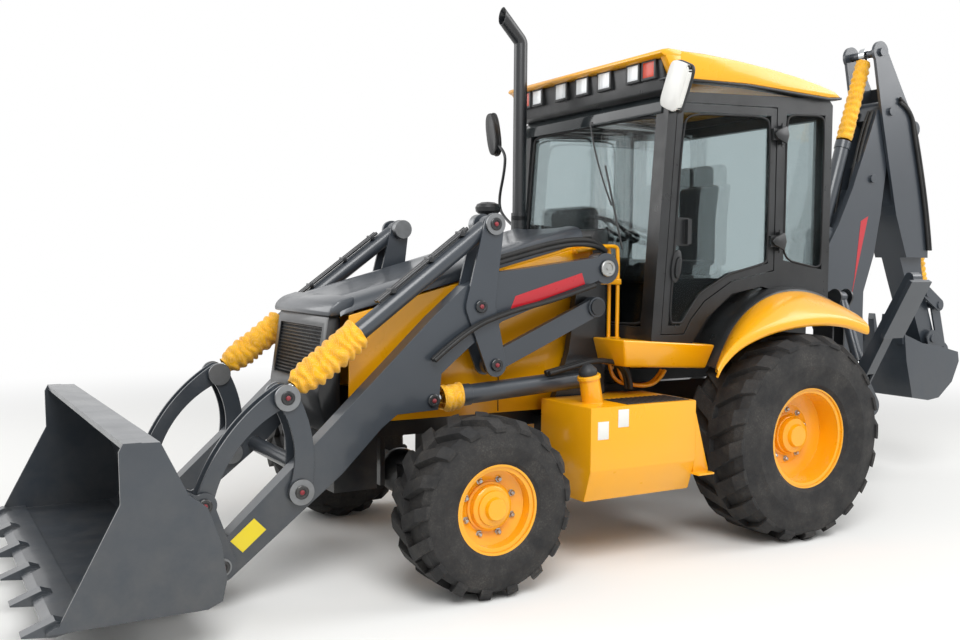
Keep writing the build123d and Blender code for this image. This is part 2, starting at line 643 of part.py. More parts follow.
def backhoe():
    boom_barrel, boom_rod = cylinder_pair(BOOM_CYL_BASE, BOOM_MID, BOOM_CLOSED, BACK_BARREL_R,
                                          BACK_ROD_R, BACK_PIN_R, EYE_HALF + 10, 0)
    dip_barrel, dip_rod = cylinder_pair(DIPPER_CYL_BASE, DIPPER_TAIL, DIPPER_CLOSED,
                                        BACK_BARREL_R, BACK_ROD_R, BACK_PIN_R, EYE_HALF, 0)
    dig_barrel, dig_rod = cylinder_pair(DIG_CYL_BASE, LEVER_TIP, DIG_CLOSED, BACK_BARREL_R - 8,
                                        BACK_ROD_R, BACK_PIN_R, EYE_HALF, 0)
    return {
        "swing_post": swing_post(),
        "backhoe_boom": boom(),
        "boom_barrel": boom_barrel,
        "boom_rod": boom_rod,
        "dipper": dipper(),
        "dipper_barrel": dip_barrel,
        "dipper_rod": dip_rod,
        "dig_barrel": dig_barrel,
        "dig_rod": dig_rod,
        "tipping_lever": tipping_lever(),
        "tipping_link": tipping_link(),
        "dig_bucket": dig_bucket(),
    }


# ================================================================ stabilisers
def turn_yz(shape):
    """Turns a shape drawn with (x, z) = (y, z) and thickness along Y into the YZ plane at LEG_X."""
    return Pos(LEG_X, 0, 0) * Rot(0, 0, 90) * shape


def stabiliser():
    """Left stabiliser leg, barrel and rod, drawn in XZ and turned into place."""
    ux = LEG_TIP[0] - LEG_PIVOT[0]
    uz = LEG_TIP[1] - LEG_PIVOT[1]
    length = hypot(ux, uz)
    ux, uz = ux / length, uz / length
    leg = slab(strap((*LEG_PIVOT, 55), (*LEG_CYL_TIP, 50), (*LEG_TIP, 36)), -LEG_HALF, LEG_HALF)
    pad_from = (LEG_TIP[0] - ux * 440 + uz * 46, LEG_TIP[1] - uz * 440 - ux * 46)
    pad_to = (LEG_TIP[0] + ux * 10 + uz * 46, LEG_TIP[1] + uz * 10 - ux * 46)
    pad = face_xz([pad_from, pad_to, (pad_to[0] + uz * 30, pad_to[1] - ux * 30),
                   (pad_from[0] + uz * 30, pad_from[1] - ux * 30)])
    leg += slab(pad, -105, 105)
    rib = face_xz([pad_from, pad_to, (pad_to[0] - uz * 50, pad_to[1] + ux * 50),
                   (pad_from[0] - uz * 50, pad_from[1] + ux * 50)])
    leg += slab(rib, -LEG_HALF, LEG_HALF)
    leg -= slab(circle_xz(LEG_CYL_TIP, 75), -EYE_HALF - 4, EYE_HALF + 4)
    # room for the rod as it turns from one side of its pin to the other: (reach, direction)
    swept = [(75, 10), (500, 92), (600, 150), (500, 222), (230, 275), (90, 345)]
    swept = [(LEG_CYL_TIP[0] + reach * cos(radians(turn)), LEG_CYL_TIP[1] + reach * sin(radians(turn)))
             for reach, turn in swept]
    leg -= slab(face_xz(swept), -EYE_HALF - 4, EYE_HALF + 4)
    leg = with_bores(leg, [LEG_PIVOT], BACK_PIN_R, -300, 300)
    for side in (1, -1):
        a, b = sorted((side * (EYE_HALF + 3), side * (LEG_HALF + 8)))
        leg += pin(LEG_CYL_TIP, 24, a, b)
    barrel, rod = cylinder_pair(LEG_CYL_BASE, LEG_CYL_TIP, LEG_CLOSED, 38, 22, 24, EYE_HALF, 0)
    return turn_yz(leg), turn_yz(barrel), turn_yz(rod)


def stabilisers():
    leg, barrel, rod = stabiliser()
    out = {}
    for name, shape in (("stabiliser_leg", leg), ("stabiliser_barrel", barrel),
                        ("stabiliser_rod", rod)):
        out[f"{name}_left"] = shape
        out[f"{name}_right"] = mirror(shape, Plane.XZ)
    return out


def backhoe_frame():
    """Rear frame: cross beam, swing lugs with their pin, and the stabiliser brackets."""
    half = LEG_HALF + 6 + BRACKET
    beam = (LEG_X - half, LEG_X + half)
    body = box(beam, (-LEG_PIVOT[0] + 90, LEG_PIVOT[0] - 90), (LUG_LOW + 60, 1060))
    for low in (LUG_LOW, LUG_HIGH):
        lug = box((SWING_X, LEG_X), (-POST_R, POST_R), (low, low + LUG_THICK))
        lug += Pos(SWING_X, 0, low + LUG_THICK / 2) * Cylinder(POST_R + 4, LUG_THICK)
        body += lug
    body += box((LEG_X - 120, LEG_X), (-POST_R, POST_R), (LUG_LOW, LUG_HIGH + LUG_THICK))
    middle = (LUG_LOW + LUG_HIGH + LUG_THICK) / 2
    body += Pos(SWING_X, 0, middle) * Cylinder(SWING_PIN_R, LUG_HIGH + LUG_THICK - LUG_LOW + 20)
    bracket = strap((*LEG_PIVOT, 85), (330, 700, 90), (330, 1400, 90), (*LEG_CYL_BASE, 60))
    plates = plate_pair(bracket, LEG_HALF + 6, half, 0)
    plates += pin(LEG_PIVOT, BACK_PIN_R, -half, half)
    plates += pin(LEG_CYL_BASE, 24, -half, half)
    plates = turn_yz(plates)
    body += plates
    body += mirror(plates, Plane.XZ)
    return body


# ================================================================ body
def rails_and_members():
    """Frame rails with the saddles and cab posts on them, and the cross members between them."""
    floor_under = FLOOR_Z - FLOOR_THICK
    pieces = []
    for sign in (1, -1):
        a, b = sorted((sign * RAIL_Y, sign * (RAIL_Y + RAIL_W)))
        pieces.append(box((RAIL_REAR, 2620), (a, b), (RAIL_LOW, RAIL_HIGH)))
        saddle = box((-120, 120), (a, b), (REAR_TYRE_R, RAIL_LOW - SEAT_GAP))
        saddle -= Pos(0, sign * RAIL_Y, REAR_TYRE_R) * Rot(90, 0, 0) * Cylinder(
            AXLE_R + SEAT_GAP, 400)
        pieces.append(saddle)
        for x in (-400, 860):
            pieces.append(box((x - 40, x + 40), (a, b), (RAIL_HIGH + SEAT_GAP, floor_under)))
    inner = RAIL_Y - SEAT_GAP
    for x in (-960, 700, 1300, 2580):
        pieces.append(box((x - 40, x + 40), (-inner, inner), (RAIL_LOW, RAIL_LOW + 60)))
    return pieces


def axle_support():
    """Pin that the front axle hangs on, between two plates under their cross members."""
    inner = RAIL_Y - SEAT_GAP
    front_z = FRONT_TYRE_R
    body = Pos(WHEELBASE, 0, front_z) * Rot(0, 90, 0) * Cylinder(AXLE_PIN_R, 350)
    for x in (WHEELBASE - 160, WHEELBASE + 160):
        body += box((x - 15, x + 15), (-90, 90), (front_z - 60, RAIL_LOW + 30))
        body += box((x - 40, x + 40), (-inner, inner), (RAIL_LOW, RAIL_LOW + 60))
    return body


def front_weight():
    """Weight across the rails' front ends, with the drawbar slot and its pin's bore."""
    weight = box((2620 + SEAT_GAP, 2875), (-400, 400), (470, 775))
    weight -= Pos(WEIGHT_PIN_X, 0, 625) * Cylinder(WEIGHT_PIN_R, 600)
    return weight - box((WEIGHT_PIN_X - 70, 2920), (-120, 120), (590, 660))


def loader_tower():
    """Left loader tower on its beam, with the pins of all that turns on it."""
    tower = face_xz([(1150, 700), (1600, 700), (1420, 1200), (1370, 1560), (1310, 1760),
                     (1170, 1760), (1150, 1500)])
    body = slab(tower, TOWER_Y, TOWER_Y + 50)
    beam_y = (RAIL_Y + RAIL_W + SEAT_GAP, TOWER_Y + 10)
    body += box((1160, 1560), beam_y, (RAIL_LOW - 130, RAIL_LOW + 60))
    # pin, half width of what turns on it
    carried = [(MAIN_PIVOT, ARM_HALF), (LEVEL_PIN, 35), (LIFT_BASE, LIFT_BARREL_R)]
    for centre, reach in carried:
        end = ARM_Y + reach + CAP + 1
        body += pin(centre, PIN_R, TOWER_Y, end)
        body += pin(centre, PIN_R * 1.6, end - CAP, end)
    return body


def main_frame():
    """Frame rails, cross members, loader towers, front weight and what carries the axles."""
    towers = both_sides(loader_tower())
    return Compound([*rails_and_members(), axle_support(), front_weight(), *towers.solids()])


def side_tanks():
    """Fuel tank with its step and filler on the left, battery box and step on the right."""
    inner = TOWER_Y + 55
    tank = slab_x(face_yz([(inner, 930), (900, 930), (1050, 800), (1050, 560), (940, 395),
                           (inner, 395)]), 880, 1620)
    tank += slab_x(face_yz([(inner, 520), (1090, 520), (1090, 490), (inner, 490)]), 750, 1640)
    tank += box((900, 1130), (RAIL_Y + RAIL_W, inner + 10), (RAIL_LOW + 10, RAIL_LOW + 130))
    neck = Pos(1490, 850, 1000) * Rot(0, 12, 0) * Cylinder(62, 190)
    cap = Pos(1508, 850, 1100) * Rot(0, 12, 0) * Cylinder(72, 50)
    left = tank + neck + cap
    right = mirror(tank, Plane.XZ)
    return Compound([*left.solids(), *right.solids()])


# Side outline of the cab, and the line on which its sides stand over the fenders.
CAB_OUTLINE = [(-510, 1225), (-510, 2790), (-470, 2830), (850, 2760), (905, 2700), (1010, 1290),
               (1010, 1225)]
QUARTER_OUTLINE = [(-80, 1760), (-80, 2700), (-440, 2720), (-440, 1700)]
FENDER_LINE = [(FENDER_X, 1150), (722, 1200), (568, 1400), (367, 1545), (112, 1590),
               (-204, 1525), (-502, 1366), (-620, 1250)]


def side_window(points):
    return slab(face_xz(points), -CAB_HALF - 5, CAB_HALF + 5)


def cab_shell():
    """Cab frame: floor pan, pillars and roof rails round door and window openings."""
    outer = slab(face_xz(CAB_OUTLINE), -CAB_HALF, CAB_HALF)
    inner = [(-455, 1200), (-455, 2775), (845, 2705), (950, 1345), (950, 1200)]
    body = outer - slab(face_xz(inner), -CAB_HALF + 55, CAB_HALF - 55)
    body -= side_window(DOOR_OUTLINE)
    body -= side_window(QUARTER_OUTLINE)
    body -= box((800, 1200), (-690, 690), (1345, 2640))
    body -= box((-700, -400), (-690, 690), (1560, 2700))
    body -= box((-430, 800), (-740, 740), (2600, 3000))
    body += box((-510, 1010), (-600, 600), (FLOOR_Z - FLOOR_THICK, FLOOR_Z))
    body += box((FENDER_X + 15, 1010), (-CAB_HALF, CAB_HALF), (FLOOR_Z - FLOOR_THICK, FLOOR_Z))
    body += box((-510, -455), (-600, 600), (FLOOR_Z, 1520))
    arch = face_xz([*FENDER_LINE, (FENDER_LINE[-1][0], 1000), (FENDER_LINE[0][0], 1000)])
    for sign in (1, -1):
        a, b = sorted((sign * (FENDER_IN - SEAT_GAP), sign * 900))
        body -= slab(arch, a, b)
        a, b = sorted((sign * (FENDER_IN - 30), sign * (FENDER_IN - SEAT_GAP)))
        body += box((-455, FENDER_X + 16), (a, b), (FLOOR_Z - FLOOR_THICK, 1640))
        for z in HINGE_Z:
            x, y = DOOR_HINGE
            lift = Pos(x, y, z) * Cylinder(HINGE_PIN_R, 150)
            for up in (1, -1):
                a, b = sorted((z + up * 38, z + up * 60))
                lift += box((x - 14, x + 14), (CAB_HALF - 4, y + 14), (a, b))
            body += lift if sign == 1 else mirror(lift, Plane.XZ)
    return body


DOOR_OUTLINE = [(940, 1300), (840, 2700), (0, 2735), (0, 1690), (120, 1668), (367, 1622),
                (590, 1500), (700, 1390), (755, 1300)]


def inset(points, by):
    """Corners of a closed outline moved inwards by the same distance all round."""
    count = len(points)
    area = sum(points[i][0] * points[(i + 1) % count][1] - points[(i + 1) % count][0] * points[i][1]
               for i in range(count))
    side = 1 if area > 0 else -1
    out = []
    for i, (x, z) in enumerate(points):
        before, after = points[i - 1], points[(i + 1) % count]
        a = atan2(z - before[1], x - before[0])
        b = atan2(after[1] - z, after[0] - x)
        turn = (b - a + pi) % (2 * pi) - pi
        middle = a + turn / 2 + side * pi / 2
        reach = by / cos(turn / 2)
        out.append((x + reach * cos(middle), z + reach * sin(middle)))
    return out


def door():
    """Left door frame and its pane, with two hinge arms at the rear edge."""
    frame = slab(face_xz(inset(DOOR_OUTLINE, 6)), CAB_HALF - 40, CAB_HALF - 2)
    frame -= slab(face_xz(inset(DOOR_OUTLINE, DOOR_FRAME)), CAB_HALF - 60, CAB_HALF)
    x, y = DOOR_HINGE
    for z in HINGE_Z:
        arm = box((8, 60), (CAB_HALF - 10, y - 8), (z - 36, z + 36))
        arm += box((x, 60), (CAB_HALF + 5, y + 4), (z - 36, z + 36))
        arm += Pos(x, y, z) * Cylinder(15, 72)
        arm -= Pos(x, y, z) * Cylinder(HINGE_PIN_R + PIN_GAP, 90)
        frame += arm
    frame += box((730, 860), (CAB_HALF - 40, CAB_HALF - 2), (1840, 2010))
    frame += box((735, 765), (CAB_HALF - 10, CAB_HALF + 28), (1850, 2000))
    pane = slab(face_xz(inset(DOOR_OUTLINE, DOOR_FRAME + SEAT_GAP)), CAB_HALF - 23, CAB_HALF - 17)
    pane -= box((729, 900), (CAB_HALF - 60, CAB_HALF), (1839, 2011))
    return frame, pane


def cab_glass():
    front = slab(face_xz([(975, 1345), (981, 1345), (883, 2640), (877, 2640)]), -690, 690)
    rear = box((-485, -479), (-690, 690), (1560, 2700))
    quarter = slab(face_xz(inset([(-80, 1760), (-80, 2700), (-440, 2720), (-440, 1700)], 0.3)),
                   CAB_HALF - 23, CAB_HALF - 17)
    return Compound([*front.solids(), *rear.solids(), *both_sides(quarter).solids()])


def roof():
    """Roof panel with its overhang, hollow above the headlining."""
    side = [(-560, 2850), (-500, 2905), (300, 3000), (900, 3010), (1000, 2960), (1000, 2860),
            (880, 2800), (850, 2760), (-470, 2830), (-540, 2836)]
    inner = [(-470, 2700), (-470, 2860), (300, 2940), (840, 2950), (840, 2700)]
    return slab(face_xz(side), -850, 850) - slab(face_xz(inner), -750, 750)


def fenders():
    """Rear fenders over the wheels and the skirts under the cab doors."""
    body = slab(strip(FENDER_LINE, 28), FENDER_IN, FENDER_OUT)
    body += slab(strip(FENDER_LINE, 60), FENDER_OUT - 25, FENDER_OUT)
    floor_under = FLOOR_Z - FLOOR_THICK
    front = FENDER_X + 15
    skirt = face_xz([(front, 1060), (1140, 1045), (1140, floor_under), (front, floor_under)])
    skirt_solid = slab(skirt, 560, CAB_HALF) - slab(face_xz(
        [(front - 50, 1000), (1125, 1000), (1125, floor_under - 20), (front - 50, floor_under - 20)]),
        500, CAB_HALF - 20)
    return both_sides(Compound([*body.solids(), *skirt_solid.solids()]))


def cab_interior():
    """Seat on its base, steering column with its wheel, and the console for the rear tools."""
    floor = FLOOR_Z + SEAT_GAP
    seat = box((-180, 300), (-250, 250), (floor + 300, floor + 420))
    seat += Pos(-150, 0, floor + 690) * Rot(0, -8, 0) * Box(110, 480, 620)
    seat += box((-60, 200), (-170, 170), (floor, floor + 310))
    lean = Rot(0, -25, 0)
    top = Pos(545, 0, floor + 640) * lean
    column = Pos(690, 0, floor + 300) * lean * Box(150, 240, 600)
    column -= box((0, 1200), (-300, 300), (0, floor))
    column += top * Torus(190, 16)
    column += top * Box(380, 30, 14)
    column += top * Box(30, 380, 14)
    column += top * (Pos(0, 0, -60) * Cylinder(30, 130))
    console = box((-445, -290), (-420, 420), (floor, floor + 480))
    return Compound([*seat.solids(), *column.solids(), *console.solids()])


def bonnet():
    """Bonnet lid with its nose and grille, hinged at the rear."""
    side = [(2913, 1426), (2913, 1480), (2833, 1521), (1270, 1962), (1240, 1850), (1889, 1685)]
    shell = slab(face_xz(side), -PANEL_Y, PANEL_Y)
    hollow = [(2895, 1380), (2895, 1468), (2828, 1503), (1255, 1945), (1200, 1800), (1889, 1600)]
    shell -= slab(face_xz(hollow), -PANEL_Y + SHEET, PANEL_Y - SHEET)
    nose = face_xz([(2820, 1440), (2905, 1440), (2975, 1015), (2912, 790), (2820, 790)])
    front = slab(nose, -400, 400)
    front -= slab(face_xz([(2800, 1445), (2885, 1445), (2950, 1015), (2890, 780), (2800, 780)]),
                  -384, 384)
    front -= slab(face_xz([(2750, 1380), (3000, 1380), (3000, 1060), (2750, 1060)]), -330, 330)
    for i in range(8):
        z = 1080 + i * 38
        x = 2905 + (1440 - z) * 70 / 425
        front += box((x - 24, x - 4), (-335, 335), (z, z + 12))
    for side in (1, -1):
        a, b = sorted((side * 252, side * 298))
        shell += round_bar(BONNET_HINGE, 16, a, b)
        shell += box((1254, 1278), (a, b), (BONNET_HINGE[1], 1950))
        shell -= bore(BONNET_HINGE, HINGE_PIN_R, a - 1, b + 1)
    shell += Pos(1620, -100, 1930) * Cylinder(45, 180)
    shell += Pos(1620, -100, 2055) * Cylinder(100, 130)
    return shell + front


def bonnet_surround():
    """Side panels, the cowl in front of the cab and the bulkhead between them."""
    side = face_xz([(1250, PANEL_LOW), (2812, PANEL_LOW), (2812, 1440), (1889, 1679), (1250, 1841)])
    body = both_sides(slab(side, PANEL_Y - SHEET, PANEL_Y))
    cowl = slab(face_xz([(1040, 1260), (1234, 1260), (1234, 1960), (1040, 1990)]), -PANEL_Y, PANEL_Y)
    cowl -= box((1060, 1260), (-PANEL_Y + SHEET, PANEL_Y - SHEET), (1000, 1930))
    cowl -= Pos(*STACK, 1950) * Cylinder(STACK_R + SEAT_GAP, 200)
    bulkhead = box((1234, 1262), (-PANEL_Y, PANEL_Y), (RAIL_HIGH, 1830))
    for side in (1, -1):
        for inner in (230, 300):
            a, b = sorted((side * inner, side * (inner + 20)))
            bulkhead += box((1242, 1280), (a, b), (1800, 1932))
        a, b = sorted((side * 230, side * 320))
        bulkhead += pin(BONNET_HINGE, HINGE_PIN_R, a, b)
    return body + cowl + bulkhead


def engine():
    """Engine as one block on its mounts, and the exhaust stack."""
    block = box((1420, 2480), (-240, 240), (RAIL_LOW + 70, 1380))
    for x in (1600, 2350):
        for sign in (1, -1):
            a, b = sorted((sign * 240, sign * RAIL_Y))
            block += box((x - 50, x + 50), (a, b), (RAIL_LOW + 90, RAIL_LOW + 170))
    stack = Pos(*STACK, 2300) * Cylinder(STACK_R, 1300)
    stack += Pos(*STACK, 2950) * Sphere(STACK_R)
    tip = Pos(*STACK, 2950) * Rot(0, 19, 0) * (Pos(0, 0, 235) * Cylinder(STACK_R, 470))
    stack += tip
    return Compound([*block.solids(), *stack.solids()])


def cab_fittings():
    """Mirrors on their arms and the work lamps under the front of the roof."""
    mirror_arm = box((862, 900), (CAB_HALF, 850), (2655, 2685))
    mirror_arm += box((862, 1060), (830, 850), (2655, 2685))
    mirror_arm += box((1040, 1060), (830, 1010), (2655, 2685))
    mirror_arm += Pos(1060, 1010, 2640) * Box(40, 190, 330)
    lamps = None
    table = [(-560, 60), (-430, 60), (-290, 70), (-120, 70), (120, 70), (290, 70), (430, 60),
             (560, 60)]
    for y, half in table:
        lamp = box((1000, 1030), (y - half, y + half), (2870, 2950))
        lamps = lamp if lamps is None else lamps + lamp
    return Compound([*both_sides(mirror_arm).solids(), *lamps.solids()])


def all_pieces():
    left_door, left_pane = door()
    pieces = {
        "main_frame": main_frame(),
        "axles": axles(),
        "side_tanks": side_tanks(),
        "cab_shell": cab_shell(),
        "cab_glass": cab_glass(),
        "cab_roof": roof(),
        "cab_interior": cab_interior(),
        "cab_fittings": cab_fittings(),
        "rear_fenders": fenders(),
        "bonnet_surround": bonnet_surround(),
        "bonnet": bonnet(),
        "engine_and_exhaust": engine(),
        "backhoe_frame": backhoe_frame(),
        "door_left": left_door,
        "door_left_glass": left_pane,
        "door_right": mirror(left_door, Plane.XZ),
        "door_right_glass": mirror(left_pane, Plane.XZ),
        "knuckle_left": knuckle(),
        "knuckle_right": mirror(knuckle(), Plane.XZ),
    }
    pieces.update(wheels())
    pieces.update(loader())
    pieces.update(backhoe())
    pieces.update(stabilisers())
    return pieces


if __name__ == "__main__":
    os.makedirs("parts", exist_ok=True)
    for name, shape in all_pieces().items():
        export_step(Pos(-MIDDLE, 0, 0) * shape, f"parts/{name}.step")
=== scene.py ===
"""Backhoe loader: finishes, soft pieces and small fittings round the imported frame."""

from __future__ import annotations

import json
import logging
import math
from dataclasses import dataclass
from enum import Enum
from typing import Sequence

import bpy
from mathutils import Matrix, Vector, noise

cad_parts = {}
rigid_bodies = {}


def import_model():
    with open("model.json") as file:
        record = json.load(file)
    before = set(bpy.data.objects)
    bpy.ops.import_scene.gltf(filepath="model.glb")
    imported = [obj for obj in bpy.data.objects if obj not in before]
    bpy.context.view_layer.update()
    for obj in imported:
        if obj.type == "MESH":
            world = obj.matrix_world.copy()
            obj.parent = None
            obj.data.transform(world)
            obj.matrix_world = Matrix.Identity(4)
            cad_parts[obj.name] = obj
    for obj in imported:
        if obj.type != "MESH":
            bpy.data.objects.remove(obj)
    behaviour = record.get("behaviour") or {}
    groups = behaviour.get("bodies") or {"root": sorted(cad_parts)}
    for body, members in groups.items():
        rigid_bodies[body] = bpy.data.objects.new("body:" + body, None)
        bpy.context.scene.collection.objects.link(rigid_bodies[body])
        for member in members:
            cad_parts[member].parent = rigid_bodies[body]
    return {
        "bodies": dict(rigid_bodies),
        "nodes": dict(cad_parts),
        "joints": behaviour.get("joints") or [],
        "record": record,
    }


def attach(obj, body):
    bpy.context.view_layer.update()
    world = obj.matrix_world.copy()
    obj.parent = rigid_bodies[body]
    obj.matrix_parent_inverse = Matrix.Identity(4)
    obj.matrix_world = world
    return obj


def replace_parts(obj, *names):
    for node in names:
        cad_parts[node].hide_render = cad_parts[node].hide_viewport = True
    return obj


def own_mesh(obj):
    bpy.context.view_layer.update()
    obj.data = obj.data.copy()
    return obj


LOG = logging.getLogger("backhoe_loader")
Piece = bpy.types.Object
Point = tuple[float, float, float]
Outline = Sequence[tuple[float, float]]
UP: Point = (0, 0, 1)
LEFT: Point = (0, 1, 0)
FILM = 0.0012  # thickness of a stripe or label
# ends of the loader's cylinders: ahead of the rear axle, to the left, above the ground
TILT_BASE: Point = (2.033, 0, 1.941)
TILT_EYE: Point = (3.235, 0, 1.045)
LIFT_BASE: Point = (1.33, 0, 1.045)
LIFT_EYE: Point = (2.40, 0, 0.977)
CYLINDER_LANE = 0.60  # side of the loader's cylinders from the middle
WAVES_PER_UNIT = 6.3  # bands that the wave pattern draws at a scale of 1


# ---------------------------------------------------------------- finishes
def linear(hex_colour: str) -> tuple[float, float, float, float]:
    """Turns an sRGB hex colour into the linear colour a shader reads.

    Args:
        hex_colour: Six hex digits after a hash.

    Returns:
        Red, green, blue and an alpha of 1, linear.
    """
    parts = [int(hex_colour[i:i + 2], 16) / 255 for i in (1, 3, 5)]
    return (*(c / 12.92 if c <= 0.04045 else ((c + 0.055) / 1.055) ** 2.4 for c in parts), 1.0)


def per_metre(millimetres: float) -> float:
    """Returns the pattern scale whose features are this many millimetres apart."""
    return 1000 / millimetres


def add_node(tree: bpy.types.NodeTree, kind: str, inputs: dict | None = None,
             **settings: object) -> bpy.types.Node:
    """Adds a shader node with its settings and links.

    Args:
        tree: Node tree that gets the node.
        kind: Class name of the node.
        inputs: Values or output sockets for the node's inputs, by name or number.
        **settings: Properties of the node.

    Returns:
        The new node.
    """
    node = tree.nodes.new(kind)
    for name, value in settings.items():
        setattr(node, name, value)
    for name, value in (inputs or {}).items():
        socket = node.inputs[name]
        if isinstance(value, bpy.types.NodeSocket):
            tree.links.new(value, socket)
        else:
            socket.default_value = value
    return node


class Shader:
    """Node tree of one material with its principled shader in place."""

    def __init__(self, name: str, **surface: object) -> None:
        """Makes the material.

        Args:
            name: Name of the material.
            **surface: Plain values of the principled shader, with _ for spaces.
        """
        self.material = bpy.data.materials.new(name)
        self.material.use_nodes = True
        self.tree = self.material.node_tree
        self.tree.nodes.clear()
        self.surface = self.add("ShaderNodeBsdfPrincipled",
                                {key.replace("_", " "): value for key, value in surface.items()})
        self.add("ShaderNodeOutputMaterial", {"Surface": self.surface.outputs["BSDF"]})
        self.place = self.add("ShaderNodeTexCoord").outputs["Object"]

    def add(self, kind: str, inputs: dict | None = None, **settings: object) -> bpy.types.Node:
        """Adds a node to this material's tree."""
        return add_node(self.tree, kind, inputs, **settings)

    def set(self, socket: str, value: object) -> None:
        """Links an output to the surface, or sets a plain value on it."""
        if isinstance(value, bpy.types.NodeSocket):
            self.tree.links.new(value, self.surface.inputs[socket])
        else:
            self.surface.inputs[socket].default_value = value

    def noise(self, millimetres: float, detail: float = 3.0, rough: float = 0.55) -> bpy.types.NodeSocket:
        """Returns a noise value whose blotches are about this wide."""
        return self.add("ShaderNodeTexNoise",
                        {"Vector": self.place, "Scale": per_metre(millimetres), "Detail": detail,
                         "Roughness": rough}).outputs["Fac"]

    def ramp(self, value: bpy.types.NodeSocket, low: float, high: float, start: float = 0.0,
             end: float = 1.0) -> bpy.types.NodeSocket:
        """Returns value stretched so that low gives start and high gives end, clamped."""
        return self.add("ShaderNodeMapRange",
                        {"Value": value, "From Min": low, "From Max": high, "To Min": start,
                         "To Max": end}).outputs["Result"]

    def times(self, a: bpy.types.NodeSocket, b: object) -> bpy.types.NodeSocket:
        """Returns the product of two values."""
        return self.add("ShaderNodeMath", {0: a, 1: b}, operation="MULTIPLY").outputs[0]

    def mix(self, factor: bpy.types.NodeSocket, a: object, b: object) -> bpy.types.NodeSocket:
        """Returns colour a turning into colour b."""
        return self.add("ShaderNodeMix", {"Factor": factor, "A": a, "B": b},
                        data_type="RGBA").outputs["Result"]

    def height(self) -> bpy.types.NodeSocket:
        """Returns the height above the ground in metres."""
        return self.add("ShaderNodeSeparateXYZ", {"Vector": self.place}).outputs["Z"]

    def bump(self, value: bpy.types.NodeSocket, millimetres: float, edge: float = 0.0) -> None:
        """Gives the surface a relief and, with edge, a softened look to its sharp edges.

        Args:
            value: Height pattern from 0 to 1.
            millimetres: Depth of the relief.
            edge: Radius of the softened edges in millimetres.
        """
        inputs = {"Height": value, "Strength": 1.0, "Distance": millimetres / 1000}
        if edge:
            inputs["Normal"] = self.add("ShaderNodeBevel", {"Radius": edge / 1000},
                                        samples=4).outputs["Normal"]
        self.set("Normal", self.add("ShaderNodeBump", inputs).outputs["Normal"])

    def edges(self, millimetres: float) -> bpy.types.NodeSocket:
        """Returns 1 on sharp outer and inner edges and 0 on flat faces."""
        soft = self.add("ShaderNodeBevel", {"Radius": millimetres / 1000}, samples=4).outputs["Normal"]
        true = self.add("ShaderNodeNewGeometry").outputs["Normal"]
        dot = self.add("ShaderNodeVectorMath", {0: soft, 1: true}, operation="DOT_PRODUCT").outputs["Value"]
        return self.ramp(dot, 0.97, 0.80)


@dataclass(frozen=True)
class Finish:
    """What the surface of a material looks like.

    Attributes:
        name: Name of the real material and how its surface was made.
        colour: sRGB hex colour.
        roughness: Typical roughness, matched to the object.
    """

    name: str
    colour: str
    roughness: float

    def material(self) -> bpy.types.Material:
        """Returns the material, made the first time it is asked for."""
        return bpy.data.materials.get(self.name) or self.build()

    def build(self) -> bpy.types.Material:
        """Makes the material; each kind of finish has its own way."""
        raise NotImplementedError


@dataclass(frozen=True)
class SprayedEnamel(Finish):
    """Sprayed polyurethane enamel on plate steel: a satin gloss with slight orange peel.

    Attributes:
        faded_and_edge_highlight: Lighter colour of sun-bleached areas and of the edges, where it is partly a
            painted highlight and partly paint worn thin.
        dust: Share of road dust on the lowest parts.
        coat: Weight of the clear gloss over the colour.
    """

    faded_and_edge_highlight: str = "#8a8f94"
    dust: float = 0.25
    coat: float = 0.3

    def build(self) -> bpy.types.Material:
        """Makes the enamel."""
        shader = Shader(self.name, Coat_Weight=self.coat, Coat_Roughness=0.12)
        tone = shader.ramp(shader.noise(620, 4), 0.3, 0.7, 0.0, 0.35)
        colour = shader.mix(tone, linear(self.colour), linear(self.faded_and_edge_highlight))
        # lighter edges: partly a painted edge highlight, partly paint worn thin
        edge = shader.times(shader.edges(5), shader.ramp(shader.noise(38, 5), 0.35, 0.7, 0.0, 0.55))
        colour = shader.mix(edge, colour, linear(self.faded_and_edge_highlight))
        low = shader.times(shader.ramp(shader.height(), 1.2, 0.0, 0.0, self.dust),
                           shader.ramp(shader.noise(150, 6, 0.65), 0.35, 0.7))
        shader.set("Base Color", shader.mix(low, colour, linear("#9a9182")))
        rough = shader.ramp(shader.noise(240, 5), 0.3, 0.7, self.roughness - 0.05, self.roughness + 0.08)
        shader.set("Roughness", rough)
        shader.bump(shader.noise(7, 2), 0.12, edge=4)
        return shader.material


@dataclass(frozen=True)
class MouldedRubber(Finish):
    """Vulcanised tyre rubber: matt black with a fine mould grain and dust in it.

    Attributes:
        grain: Width of the mould grain in millimetres, drawn coarse enough to show.
        dust: Share of dust held by the grain.
    """

    grain: float = 9.0
    dust: float = 0.25

    def build(self) -> bpy.types.Material:
        """Makes the rubber."""
        shader = Shader(self.name, Specular_IOR_Level=0.35)
        cloud = shader.ramp(shader.noise(170, 7, 0.7), 0.4, 0.75, 0.0, self.dust)
        fine = shader.ramp(shader.noise(self.grain, 3), 0.45, 0.7)
        dusty = shader.mix(shader.times(cloud, fine), linear(self.colour), linear("#8d8880"))
        shader.set("Base Color", shader.mix(cloud, dusty, linear("#5a5753")))
        shader.set("Roughness", shader.ramp(fine, 0, 1, self.roughness - 0.08, self.roughness + 0.08))
        shader.bump(shader.noise(self.grain, 4), 0.5, edge=6)
        return shader.material


